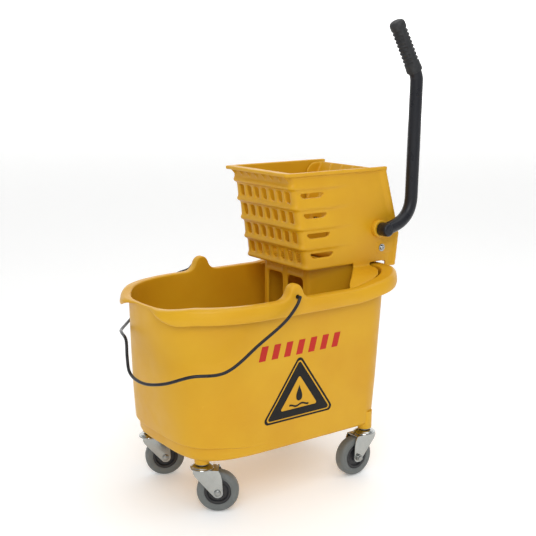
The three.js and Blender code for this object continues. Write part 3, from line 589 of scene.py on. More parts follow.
def rim_height(x):
    return RIM + RIM_RISE * smoothstep(x, RISE_FROM, RISE_TO) - 8 * smoothstep(-np.asarray(x), 190, 240)


def lip_share(x, y, near, far):
    """How much of the lip stands at a place: it fades between two widths on each side of the spout."""
    spread = np.where(y < 0, smoothstep(-y, *near), smoothstep(y, *far))
    return np.where(x > SPOUT_X, 1.0, 0.06 + 0.94 * spread)


def ear_height(x):
    """How far the bail ears stand above the rim, along the side."""
    d = np.abs(np.asarray(x, float) - EAR_X)
    lobe = EAR_CENTRE - RIM + np.sqrt(np.maximum(EAR_ROUND**2 - d**2, 0))
    t = np.linspace(0, 1, 30)
    curve_d = (1 - t) ** 2 * 13.4 + 2 * t * (1 - t) * 19 + t**2 * (EAR_BASE + 4)
    curve_h = (1 - t) ** 2 * (EAR_CENTRE - RIM + 4) + 2 * t * (1 - t) * 1.0
    fillet = np.interp(d, curve_d, curve_h, left=99, right=0)
    return np.where(d < 13.4, lobe, fillet)


def bucket_rows():
    wall = setting("mop_bucket_body", "wall")
    gap = setting("mop_bucket_body", "lip_gap")
    drop = setting("mop_bucket_body", "lip_drop")
    turn = setting("mop_bucket_body", "edge_round")
    x, y = RIM_XY.T
    share = lip_share(x, y, (22, 70), (6, 58))
    skirt_share = lip_share(x, y, (28, 98), (26, 104))
    side = smoothstep(np.abs(y), 120, 140)
    rim = rim_height(x)
    top = rim + ear_height(x) * side
    band = -BAND_RECESS * smoothstep(-x, 50, 180)
    seam = 124 - 9 * smoothstep(x, -170, -50)
    rows = [
        bucket_row(BOTTOM, band - FOOT - 60), bucket_row(BOTTOM, band - FOOT - 20), bucket_row(BOTTOM,
        band - FOOT - 4)
    ]
    for a in np.radians(np.linspace(0, 90, 7)):
        rows.append(bucket_row(BOTTOM + FOOT * (1 - math.cos(a)), band - FOOT * (1 - math.sin(a))))
    for t in (0.35, 0.7, 0.9, 1.0):
        rows.append(bucket_row(106 + (seam - 106) * t, band))
    for rise, share_out in ((0.5, 0.9), (1.0, 0.55), (1.5, 0.22), (2.4, 0.05), (4.0, 0.0)):
        rows.append(bucket_row(seam + rise, band * share_out))
    under = rim - 4 * (0.4 + 0.6 * share)
    for t in np.linspace(0.06, 0.985, 22):
        rows.append(bucket_row(seam + 4 + (under - seam - 4) * t, 0))
    hem = under - drop * skirt_share
    out_gap = 0.6 + (gap + REAR_LIP_EXTRA * smoothstep(x, WIDEN_FROM, WIDEN_TO)) * share
    skirt = out_gap + 4 * (0.25 + 0.75 * share)
    rows.append(bucket_row(under - 1.0, 0.1))
    rows.append(bucket_row(under, 0.5 + 0.5 * share))
    rows.append(bucket_row(under, out_gap - 1.2 * share))
    rows.append(bucket_row(under - 1.0 * share, out_gap))
    for t in (0.3, 0.65, 0.96):
        rows.append(bucket_row(under + (hem - under) * t, out_gap))
    rows.append(bucket_row(hem, out_gap + 0.9 * share))
    rows.append(bucket_row(hem, skirt - 1.0 * share))
    rows.append(bucket_row(hem + 1.0 * share, skirt))
    radius = turn * share + 0.7 * (1 - share)
    shoulder = top - radius
    for t in (0.15, 0.35, 0.55, 0.75, 0.92, 1.0):
        bulge = 1.4 * math.sin(math.pi * t) * share
        rows.append(bucket_row(hem + (shoulder - hem) * t, skirt + bulge))
    for a in np.radians(np.linspace(12, 90, 7)):
        rows.append(bucket_row(shoulder + radius * math.sin(a), skirt - radius * (1 - math.cos(a))))
    inner = 0.4 + 3.2 * share
    for t in (0.35, 0.7, 1.0):
        rows.append(bucket_row(top, (skirt - radius) * (1 - t) + (-wall + inner) * t))
    for a in np.radians(np.linspace(15, 90, 6)):
        rows.append(bucket_row(top - inner * (1 - math.cos(a)), -wall + inner * (1 - math.sin(a))))
    for t in np.linspace(0.05, 1, 24):
        rows.append(bucket_row((top - inner) * (1 - t) + 126 * t, -wall - 6 * t * t))
    for a in np.radians(np.linspace(0, 90, 8)):
        rows.append(bucket_row(FLOOR + 16 * (1 - math.sin(a)), -wall - 6 - 16 * (1 - math.cos(a))))
    rows.append(bucket_row(FLOOR, -wall - 60))
    return rows


def side_y(x, z):
    """The outer wall's place on the near side, at a point of its face."""
    p = plan_at(z)
    if x >= SPOUT_X:
        return -p["half"]
    reach = min(1, (SPOUT_X - x) / p["front"])
    return -p["half"] * (1 - reach ** p["power"]) ** (1 / p["power"])


class MOPBUCKET_OT_bucket(bpy.types.Operator):
    """Model the moulded bucket with its rolled lip, pouring spout, bail ears and caster bosses"""

    bl_idname = "mop_bucket.bucket"
    bl_label = "Bucket"

    def execute(self, context):
        shell = loft("bucket_shell", bucket_rows())
        holes = [
            spun(
                "ear_hole", rod_profile(4.3, 0, 30), (EAR_X, side * EAR_HOLE_FROM, EAR_HOLE), (0, side, 0),
                24
            ) for side in (-1, 1)
        ]
        combined(shell, holes, "DIFFERENCE")
        bosses = []
        for place in PLACES:
            x, y, _ = CASTERS[place]
            profile = [(0, 0), (8, 0), (12, 0), (13.2, 0.6), (13.6, 2), (14.2, 36), (0, 36)]
            bosses.append(spun("boss", profile, (x, y, SOCKET)))
        combined(shell, bosses)
        moulding(shell, "bucket", "bucket", 38)
        return {"FINISHED"}


def on_side(points, lift):
    """Points of the near face, given as (x, z), laid on the bucket's wall."""
    return [(x, side_y(x, z) - lift, z) for x, z in points]


def print_patch(name, outer, inner, thickness=0.35):
    """A printed shape on the near wall: the band between two outlines of equal count."""
    rows = []
    for lift in (0.02, thickness):
        pair = []
        for t in (0.0, 0.5, 1.0):
            pair.append(
                on_side(
                    [
                        (a[0] + (b[0] - a[0]) * t, a[1] + (b[1] - a[1]) * t) for a, b in zip(outer, inner)
                    ], lift
                )
            )
        rows += pair if lift == 0.02 else pair[::-1]
    rows.append(rows[0])
    obj = loft(name, rows, ends="open")
    return smooth_faces(obj, 30)


def rounded_triangle(centre, half_base, height, radius, steps=8, per_side=14):
    """A triangle's outline with rounded corners, its points evenly shared out."""
    cx, cz = centre
    corners = [
        (cx - half_base, cz - height / 3), (cx + half_base, cz - height / 3), (cx, cz + 2 * height / 3)
    ]
    slope = math.degrees(math.atan2(height, half_base))
    points = []
    turns = ((90 + slope, 270), (270, 450 - slope), (90 - slope, 90 + slope))
    insets = []
    for i, (x, z) in enumerate(corners):
        before, after = corners[i - 1], corners[(i + 1) % 3]
        a = Vector((before[0] - x, before[1] - z)).normalized()
        b = Vector((after[0] - x, after[1] - z)).normalized()
        half = a.angle(b) / 2
        middle = Vector((x, z)) + (a + b).normalized() * (radius / math.sin(half))
        insets.append(middle)
    for i, middle in enumerate(insets):
        start, end = turns[i]
        points += arc(middle.x, middle.y, radius, start, end, steps)
        nxt = insets[(i + 1) % 3]
        ahead = turns[(i + 1) % 3][0]
        last = Vector(points[-1])
        first = Vector(arc(nxt.x, nxt.y, radius, ahead, ahead, 1)[0])
        points += [tuple(last.lerp(first, k / per_side)) for k in range(1, per_side)]
    return points


def scaled(points, centre, factor):
    return [(centre[0] + (x - centre[0]) * factor, centre[1] + (z - centre[1]) * factor) for x, z in points]


class MOPBUCKET_OT_graphics(bpy.types.Operator):
    """Lay the printed marks on the near wall: a row of red bars over a black triangle"""

    bl_idname = "mop_bucket.graphics"
    bl_label = "Printed Marks"

    def execute(self, context):
        bars = []
        for i in range(7):
            x = -89.5 + i * 27.3
            foot, head = 273.5, 300.5
            outer = []
            for (ax, az), (bx, bz) in (
                ((x, foot), (x + 14, foot)), ((x + 14, foot), (x + 21, head)),
                ((x + 21, head), (x + 7, head)), ((x + 7, head), (x, foot)),
            ):
                outer += [
                    (ax + (bx - ax) * t, az + (bz - az) * t) for t in np.linspace(0, 1, 6, endpoint=False)
                ]
            middle = (x + 10.5, (foot + head) / 2)
            bars.append(print_patch("bar", outer, scaled(outer, middle, 0.02)))
        only(bars[0])
        for bar in bars[1:]:
            bar.select_set(True)
        bpy.ops.object.join()
        row = added("side_print_bars")
        settled(row, "bucket", FINISHES["red"])

        centre = (1.5, 191.7)
        parts = []
        outer = rounded_triangle(centre, 84, 122, 8)
        inner = rounded_triangle(centre, 77, 111.8, 6)
        parts.append(print_patch("rim", outer, inner))
        outer = rounded_triangle(centre, 72, 104.6, 4)
        inner = rounded_triangle(centre, 43, 62.5, 3)
        parts.append(print_patch("field", outer, inner))
        drop = []
        for t in np.linspace(0, 2 * math.pi, 36, endpoint=False):
            wide = math.sin(t) * math.sin(t / 2) ** 1.6
            drop.append((centre[0] + 10 * wide, centre[1] + 8 + 15 * math.cos(t)))
        parts.append(print_patch("drop", drop, scaled(drop, (centre[0], centre[1] + 2), 0.02)))
        wave = [(centre[0] + a, centre[1] - 13 + 1.8 * math.sin(a / 4.2)) for a in np.linspace(-22, 22, 30)]
        wave += [(x, z - 3.6) for x, z in wave[::-1]]
        spine = [(x, centre[1] - 14.8 + 1.8 * math.sin((x - centre[0]) / 4.2)) for x, _ in wave]
        parts.append(print_patch("wave", wave, spine))
        only(parts[0])
        for part in parts[1:]:
            part.select_set(True)
        bpy.ops.object.join()
        settled(added("side_print_triangle"), "bucket", FINISHES["ink"])
        return {"FINISHED"}


# ---------------------------------------------------------------- bail

BAIL = [
    (-27, -179, 377), (-54, -184, 353), (-112, -186, 320), (-181, -181, 280), (-234, -160, 277),
    (-262, -115, 258), (-272, -60, 247), (-268, -5, 252), (-262, 14, 274), (-255, 30, 300),
    (-247, 62, 306), (-228, 100, 300), (-196, 138, 300), (-166, 162, 308), (-132, 178, 324),
    (-96, 186, 346), (-60, 185, 370), (-27, 179, 381),
]


class MOPBUCKET_OT_bail(bpy.types.Operator):
    """Bend the wire bail, with a hook through each ear"""

    bl_idname = "mop_bucket.bail"
    bl_label = "Wire Bail"

    def execute(self, context):
        run = [tuple(p) for p in BAIL[1:-1]]
        near = [(EAR_X, -152.2, EAR_HOLE), (EAR_X, -168, EAR_HOLE), (EAR_X - 0.5, -175, EAR_HOLE + 0.5),
                (EAR_X - 2.5, -179, EAR_HOLE + 1.5), (-25, -180.5, 382), (-30, -181.5, 375)]
        far = [(-30, 181.5, 378.5), (-25, 180.5, 384), (EAR_X - 2.5, 179, EAR_HOLE + 1.5),
               (EAR_X - 0.5, 175, EAR_HOLE + 0.5), (EAR_X, 168, EAR_HOLE), (EAR_X, 152.2, EAR_HOLE)]
        path = curve_through(near + run + far, 520)
        radius = np.full(len(path), 2.8)
        radius[:4] = radius[-4:][::-1] = (0.9, 1.9, 2.5, 2.75)
        wire = smooth_faces(loft("bail_wire_bent", tube_rows(path, radius, 18)))
        settled(wire, "bail", FINISHES["black"], ["bail_wire"])
        return {"FINISHED"}


# ---------------------------------------------------------------- wringer

HALF = 95.0
TOP, FLOOR_Z = 587.0, 412.0
SEAT = RIM + RIM_RISE + 1.5
REAR_TOP, REAR_ELBOW, REAR_FOOT = (249.0, 587.0), (286.0, 460.0), (278.0, 396.0)
PIVOT = (
    SHAFT[0] - 96 * math.cos(math.radians(33.4)),
    SHAFT[1] - 96 * math.sin(math.radians(33.4)),
)
TIERS = [562.0 - 38.0 * i for i in range(5)]
CORNER = 9.0
FADE_END = 168.0


def front_x(z):
    return float(np.interp(z, (FLOOR_Z, TOP), (58.0, 20.0)))


def basket_path():
    """Stations along the near side, round the front and back along the far side: (kind, measure)."""
    stations = [("side", x, -1) for x in np.linspace(FADE_END, 76, 24)]
    stations += [("corner", a, -1) for a in np.linspace(0, 90, 9)]
    stations += [("front", y, 0) for y in np.linspace(-HALF + CORNER, HALF - CORNER, 30)[1:-1]]
    stations += [("corner", a, 1) for a in np.linspace(90, 0, 9)]
    return stations + [("side", x, 1) for x in np.linspace(76, FADE_END, 24)]


def basket_point(station, z, offset):
    """A point at a station of the basket's wall, at height z, moved outwards by offset."""
    kind, measure, side = station
    face = front_x(z)
    if kind == "side":
        return (measure, side * (HALF + offset), z)
    if kind == "front":
        return (face - offset, measure, z)
    a = math.radians(measure)
    radius = CORNER + offset
    x = face + CORNER - radius * math.sin(a)
    y = side * (HALF - CORNER + radius * math.cos(a))
    return (x, y, z)


def tier(low):
    """One moulded tier: a band that flares down to a rib and steps back under it."""
    front = setting("mop_bucket_wringer", "rib_front")
    side = setting("mop_bucket_wringer", "rib_side")
    heights = (31.0, 31.0, 20.0, 12.0, 8.5, 6.5, 4.0, 1.5, 0.0, 0.0)
    front_out = (-2.0, 0.0, 0.8, 1.6, 3.0, 0.86 * front, front, 0.88 * front, 0.5 * front, -2.0)
    side_out = (
        -2.0, 0.0, 0.4 * side, 0.7 * side, 0.82 * side, 0.9 * side, side, 0.94 * side, 0.5 * side, -2.0
    )
    rows = []
    for station in basket_path():
        kind, measure, _ = station
        share = {"front": 1.0, "side": 0.0, "corner": measure / 90 if kind == "corner" else 0}[kind]
        fade = 1.0
        if kind == "side":
            fade = 0.12 + 0.88 * (1 - float(smoothstep(measure, 96, FADE_END)))
        section = []
        for height, f, s in zip(heights, front_out, side_out):
            out = share * f + (1 - share) * s
            section.append(basket_point(station, low + height, out * fade if out > 0 else out))
        rows.append(section)
    return loft("tier", rows, ends="face")


def wringer_side(side):
    y0, y1 = sorted((side * (HALF - 4), side * HALF))
    outline = [
        (front_x(TOP) + 6, TOP), (front_x(FLOOR_Z) + 6, FLOOR_Z), (172, FLOOR_Z), (172, 361), (214, 361),
        (214, SEAT), (254, SEAT), (254, 396), REAR_FOOT, REAR_ELBOW, REAR_TOP,
    ]
    wall = slab("side", outline, y0, y1)
    bands = []
    for reach, proud in ((14, 1.6), (9.5, 3.4)):
        band = [
            (x - reach, z) for x, z in (REAR_TOP, REAR_ELBOW, REAR_FOOT)
        ] + [REAR_FOOT, REAR_ELBOW, REAR_TOP]
        b0, b1 = sorted((side * (HALF - 1), side * (HALF + proud)))
        bands.append(slab("band", band, b0, b1))
    p0, p1 = sorted((side * (HALF - 1), side * (HALF + 1.5)))
    bands.append(slab("pad", rounded_box(231, 274, 426, 445, 3), p0, p1))
    s0, s1 = sorted((side * (HALF - 1), side * (HALF + 1.4)))
    bands.append(slab("saddle", [(173, 403), (173, 362), (213, 362), (213, 403)], s0, s1))
    return combined(wall, bands)


def basket_shell():
    rows = []
    stations = [s for s in basket_path() if s[0] != "side" or s[1] < 90]
    for station in stations:
        rows.append(
            [basket_point(station, z, out) for z, out in ((FLOOR_Z, -4), (FLOOR_Z, 0), (TOP, 0), (TOP, -4))]
        )
    shell = loft("wringer_basket_body", rows, ends="face")
    pieces = [make(side) for side in (-1, 1) for make in (wringer_side, shoulder)]
    floor_end = PIVOT[0] - 11
    pieces.append(
        slab(
            "floor", [
                (60, -HALF + 2), (floor_end, -HALF + 2), (floor_end, HALF - 2), (60, HALF - 2)
            ], FLOOR_Z, FLOOR_Z + 4, "Z"
        )
    )
    pieces += [tier(low) for low in TIERS]
    outer = [
        (front_x(TOP) - 15, -HALF - 1), (front_x(TOP) - 11, -HALF - 5), (front_x(TOP) - 4, -HALF - 6.5),
        (REAR_TOP[0] - 30, -HALF - 6.0), (REAR_TOP[0] + 1, -HALF - 4.2),
    ]
    outer = outer + [(x, -y) for x, y in outer[::-1]]
    inner = rounded_box(front_x(TOP) + 4, REAR_TOP[0] + 20, -HALF + 4, HALF - 4, 6)
    rim = slab("flange", outer, TOP, TOP + 6.6, "Z")
    combined(rim, [slab("mouth", inner, TOP - 2, TOP + 10, "Z")], "DIFFERENCE")
    pieces.append(rim)
    for y in np.linspace(-HALF + 9, HALF - 9, 8):
        face = front_x(TOP - 8)
        pieces.append(
            slab(
                "gusset", [
                    (face + 1, TOP - 13), (face + 1, TOP + 1), (face - 12, TOP + 1)
                ], y - 1.6, y + 1.6
            )
        )
    return combined(shell, pieces)


def shoulder(side):
    """Fills one corner of the bucket's mouth beside the saddle, sloping down to just under the rim."""
    inner, outer = HALF - 2, 146.0
    front = [(172, inner), (150, 115), (130, 133), (120, outer)]
    edge = [(x, outer) for x in (132, 145, 160, 175)] + [(196, 139), (210, 124), (214, 110), (214, inner)]
    plan = [(x, side * y) for x, y in front + edge]
    obj = slab("shoulder", plan, 0, 4, "Z")
    points = np.array([v.co for v in obj.data.vertices])
    share = (np.abs(points[:, 1]) - inner) / (outer - inner)
    points[:, 2] += (404 - 4) * (1 - share) + (rim_height(points[:, 0]) - 3 - 4) * share
    put(obj, points)
    return obj


def basket_openings():
    tools = []
    pitch = (2 * HALF - 18) / 7
    for low in TIERS[:-1]:
        top = low - 5
        face = front_x(top)
        for i in range(7):
            y = -HALF + 9 + pitch * (i + 0.5)
            tools.append(
                slab("slot", rounded_box(y - 7, y + 7, top - 21, top, 2.5), face - 9, face + 15, "Y")
            )
            put_crosswise(tools[-1])
        start = face + 14
        outline = [(start + 3, top - 6), (start + 1.5, top - 4.2), (start + 2.5, top - 2.6), (start + 6,
        top - 2.2),
                   (start + 50, top - 2.2), (start + 55.5, top - 3.4), (start + 56, top - 5.2), (start + 52,
                   top - 9.6),
                   (start + 46, top - 11.4), (start + 12, top - 11.4), (start + 6, top - 9.6)]
        tools.append(slab("slot", outline, -HALF - 9, -HALF + 9))
    for i in range(6):
        x = 72 + 11 * i
        tools.append(
            slab("slot", rounded_box(x, x + 5, -HALF + 28, HALF - 28, 2.4), FLOOR_Z - 3, FLOOR_Z + 9, "Z")
        )
    return tools


def put_crosswise(obj):
    """Turns an outline drawn in XZ and pulled along Y into one drawn in YZ and pulled along X."""
    turn = Matrix(((0, 1, 0, 0), (1, 0, 0, 0), (0, 0, 1, 0), (0, 0, 0, 1)))
    obj.data.transform(turn)
    return weld(obj)


class MOPBUCKET_OT_wringer(bpy.types.Operator):
    """Model the wringer's basket, rear cover, lower housing, press plate and bushes"""

    bl_idname = "mop_bucket.wringer"
    bl_label = "Wringer"

    def execute(self, context):
        detail = setting("mop_bucket_wringer", "grain")
        basket = basket_shell()
        combined(basket, basket_openings(), "DIFFERENCE")
        moulded(basket, detail, 3)
        moulding(basket, "wringer", "wringer_basket")
        self.rear_cover(detail)
        self.housing(detail)
        self.press_plate(detail)
        self.bushes()
        return {"FINISHED"}

    def rear_cover(self, detail):
        half = HALF - 4.6
        outside = [
            (REAR_TOP[0] - 3, REAR_TOP[1]), (REAR_ELBOW[0] - 3, REAR_ELBOW[1]), (REAR_FOOT[0] - 3,
            REAR_FOOT[1] + 4)
        ]
        inside = [(x - 4.5, z) for x, z in outside[::-1]]
        cover = slab("wringer_cover_panel", outside + inside, -half, half)
        ledge = block("ledge", 256, REAR_FOOT[0] - 5, -half, half, SEAT, SEAT + 4)
        ribs = []
        for y in (-60, -20, 20, 60):
            path = [(x + 2.2, z) for x, z in outside[:2]] + [(x - 1, z) for x, z in outside[:2][::-1]]
            path = [
                (path[0][0], path[0][1] - 14), (path[1][0], path[1][1] + 8), (path[2][0], path[2][1] + 8),
                (path[3][0], path[3][1] - 14)
            ]
            ribs.append(slab("rib", path, y - 2.2, y + 2.2))
        combined(cover, [ledge, *ribs])
        moulded(cover, detail, 3)
        moulding(cover, "wringer", "wringer_rear_cover")

    def housing(self, detail):
        front, rear, bottom, step, top = 79.0, 200.0, 262.0, 388.0, FLOOR_Z - 0.3

        def plan(inset, x0, x1):
            def half_at(x):
                return float(np.interp(x, (front, rear), (73.0, 88.0)))
            return [(x0 + inset, -half_at(x0) + inset), (x1 - inset, -half_at(x1) + inset),
                    (x1 - inset, half_at(x1) - inset), (x0 + inset, half_at(x0) - inset)]

        body = slab("wringer_lower_housing", plan(0, front, rear), bottom, top, "Z")
        bevelled_corners(body, 7)
        frames = []
        for y0, y1 in ((-61, -58), (-7.5, 7.5), (58, 61)):
            frames.append(block("frame", front - 1.4, front + 2, y0, y1, bottom + 4, top - 6))
        frames.append(block("frame", front - 1.4, front + 2, -61, 61, 386, 391))
        combined(body, frames)
        hollows = [
            slab("hollow", plan(3.6, front, rear), bottom - 2, step + 1, "Z"),
            slab("hollow", plan(3.6, front, rear + 20), step, top + 3, "Z"),
        ]
        for y0, y1 in ((-55.5, -7.5), (7.5, 55.5)):
            window = slab("window", rounded_box(y0, y1, 300, 386, 9), front - 8, front + 12)
            hollows.append(put_crosswise(window))
        combined(body, hollows, "DIFFERENCE")
        moulded(body, detail, 3)
        moulding(body, "wringer", "wringer_housing")

    def press_plate(self, detail):
        top = (238.0, 589.0)
        lean = math.atan2(top[1] - PIVOT[1], top[0] - PIVOT[0])
        run = math.hypot(top[0] - PIVOT[0], top[1] - PIVOT[1])

        def along(u, v):
            return (
                PIVOT[0] + u * math.cos(lean) + v * math.sin(lean),
                PIVOT[1] + u * math.sin(lean) - v * math.cos(lean)
            )

        half = 88.5
        panel = slab(
            "press_plate_panel", [along(4, -2), along(run, -2), along(run, 2), along(4, 2)], -half, half
        )
        pieces = [spun("knuckle", rod_profile(8, -half, half), (PIVOT[0], 0, PIVOT[1]), (0, 1, 0), 40)]
        wing = [
            (
                196, PIVOT[1] + (196 - PIVOT[0]) * math.tan(lean)
            ), along(run, 0), *arc(221, 564, 25, 90, 180, 10)
        ]
        for side in (-1, 1):
            y0, y1 = sorted((side * (half - 4), side * half))
            pieces.append(slab("wing", wing, y0, y1))
        for y in (-51, -17, 17, 51):
            pieces.append(
                slab(
                    "rib", [
                        along(40, -5), along(run - 6, -5), along(run - 3, -1), along(36, -1)
                    ], y - 1.8, y + 1.8
                )
            )
        combined(panel, pieces)
        holes = [spun("bore", rod_profile(4.4, -100, 100), (PIVOT[0], 0, PIVOT[1]), (0, 1, 0), 32)]
        for row in range(4):
            for y in (-34, 0, 34):
                low = 52 + row * 32
                holes.append(
                    slab(
                        "hole", [
                            along(low, -7), along(low + 18, -7), along(low + 18, 7), along(low, 7)
                        ], y - 9, y + 9
                    )
                )
        combined(panel, holes, "DIFFERENCE")
        moulded(panel, detail * 0.9, 2)
        moulding(panel, "press_plate", "press_plate")

    def bushes(self):
        for name, side in SIDES.items():
            reach = 10.0 if name == "near" else 4.0
            profile = [(10.3, -9.7), (14, -9.7), (14, 0.3), (17, 0.3), (17, reach - 1.6), (16.5,
            reach - 0.5),
                       (15.4, reach), (10.9, reach), (10.3, reach - 0.6)]
            bush = spun(f"bush_{name}", profile, (SHAFT[0], side * HALF, SHAFT[1]), (0, side, 0), 64)
            moulding(bush, "wringer", f"shaft_bush_{name}", 50)


def bevelled_corners(obj, width):
    """Rounds the upright edges of a slab."""
    only(obj)
    mesh = bmesh.new()
    mesh.from_mesh(obj.data)
    for edge in mesh.edges:
        a, b = (v.co for v in edge.verts)
        edge.select_set(abs((b - a).normalized().z) > 0.99)
    mesh.select_flush(False)
    mesh.to_mesh(obj.data)
    mesh.free()
    bpy.ops.object.mode_set(mode="EDIT")
    bpy.ops.mesh.select_mode(type="EDGE")
    bpy.ops.mesh.bevel(offset=width, segments=5, affect="EDGES")
    bpy.ops.object.mode_set(mode="OBJECT")
    return obj


# ---------------------------------------------------------------- lever

LEVER_Y = -118.1
RISER_X = 296.0
ELBOW = (RISER_X, SHAFT[1] + (RISER_X - SHAFT[0]) * math.tan(math.radians(16)))
BEND = (RISER_X + (763 - ELBOW[1]) * math.tan(math.radians(1.3)), 763.0)
GRIP_WAY = (-math.sin(math.radians(29.5)), math.cos(math.radians(29.5)))
LEVER_END = (BEND[0] + 112 * GRIP_WAY[0], BEND[1] + 112 * GRIP_WAY[1])


def rounded_run(corners):
    """Points of a run with each corner (x, z, radius) rounded by a quadratic curve."""
    points = [Vector(corners[0][:2])]
    for before, here, after in zip(corners, corners[1:], corners[2:]):
        corner = Vector(here[:2])
        back = (Vector(before[:2]) - corner).normalized()
        ahead = (Vector(after[:2]) - corner).normalized()
        reach = here[2] / math.tan(back.angle(ahead) / 2)
        a, b = corner + back * reach, corner + ahead * reach
        for t in np.linspace(0, 1, 25):
            points.append(a * (1 - t) ** 2 + corner * 2 * t * (1 - t) + b * t * t)
    points.append(Vector(corners[-1][:2]))
    return np.array([(p.x, LEVER_Y, p.y) for p in points])


class MOPBUCKET_OT_lever(bpy.types.Operator):
    """Bend the lever tube and mould its socket and ribbed grip"""

    bl_idname = "mop_bucket.lever"
    bl_label = "Hand Lever"

    def execute(self, context):
        radius = setting("mop_bucket_lever", "tube") / 2
        way = Vector((ELBOW[0] - SHAFT[0], ELBOW[1] - SHAFT[1])).normalized()
        start = Vector(SHAFT) + way * 2
        path = evenly(rounded_run([(*start, 0), (*ELBOW, 60), (*BEND, 32), (*LEVER_END, 0)]), 200)
        tube = smooth_faces(loft("lever_tube_bent", tube_rows(path, radius, 40)), 40)
        settled(tube, "lever", FINISHES["black"], ["lever_tube"])
        width = 2 * radius
        profile = [(0, 0), (radius - 6, 0), *[(radius + 0.4 - 6 + 6 * math.sin(a),
        6 - 6 * math.cos(a)) for a in np.radians(np.linspace(12, 90, 7))],
                   (radius + 0.4, width - 1.5), (radius - 1, width), (0, width)]
        socket = spun("lever_socket_end", profile, (SHAFT[0], LEVER_Y - radius, SHAFT[1]), (0, 1, 0), 56)
        settled(smooth_faces(socket, 50), "lever", FINISHES["black"], ["lever_socket"])
        self.grip(radius)
        return {"FINISHED"}

    def grip(self, tube_radius):
        outer = setting("mop_bucket_lever", "grip") / 2
        count = context_ribs()
        sides = 96
        bore = tube_radius + 0.3
        grip_length, end_wall = 104.0, 4.0
        direction = Vector((GRIP_WAY[0], 0, GRIP_WAY[1]))
        base = Vector((LEVER_END[0], LEVER_Y, LEVER_END[1])) + direction * (0.3 - (grip_length - end_wall))
        across = Vector((GRIP_WAY[1], 0, -GRIP_WAY[0]))
        side = Vector((0, 1, 0))
        angles = np.linspace(0, 2 * math.pi, sides, endpoint=False)
        on_ribs = smoothstep(np.abs(np.cos(angles + math.radians(12))), 0.28, 0.46)
        low, pitch = 17.0, 8.0

        def ring(height, radius):
            return [base + direction * height + (across * math.cos(a) + side * math.sin(a)) * r
                    for a, r in zip(angles, np.broadcast_to(radius, sides))]

        rows = [
            ring(grip_length - end_wall, bore), ring(0.6, bore), ring(0, bore + 0.6), ring(0, outer - 0.4),
            ring(0.4, outer + 0.3)
        ]
        heights = np.concatenate([np.linspace(2, low - 1, 4), np.arange(low, low + pitch * count, 1.0),
                                  np.linspace(low + pitch * count + 1, grip_length - 7, 4)])
        for height in heights:
            phase = (height - low) / pitch
            wave = 0.0
            if 0 <= phase < count:
                wave = -1.9 * float(smoothstep(math.sin(phase % 1 * math.pi), 0.25, 0.85))
            collar = 0.5 if height < 8 else 0.0
            rows.append(ring(height, outer + collar + wave * on_ribs))
        for a in np.radians(np.linspace(8, 82, 9)):
            rows.append(ring(grip_length - 7 + 7 * math.sin(a), outer - 7 * (1 - math.cos(a))))
        rows.append(ring(grip_length, outer - 7.6))
        sleeve = smooth_faces(loft("grip_sleeve", rows), 50)
        settled(sleeve, "lever", FINISHES["rubber"], ["lever_grip"])


def context_ribs():
    return bpy.context.scene.mop_bucket_lever.ribs


# ---------------------------------------------------------------- casters


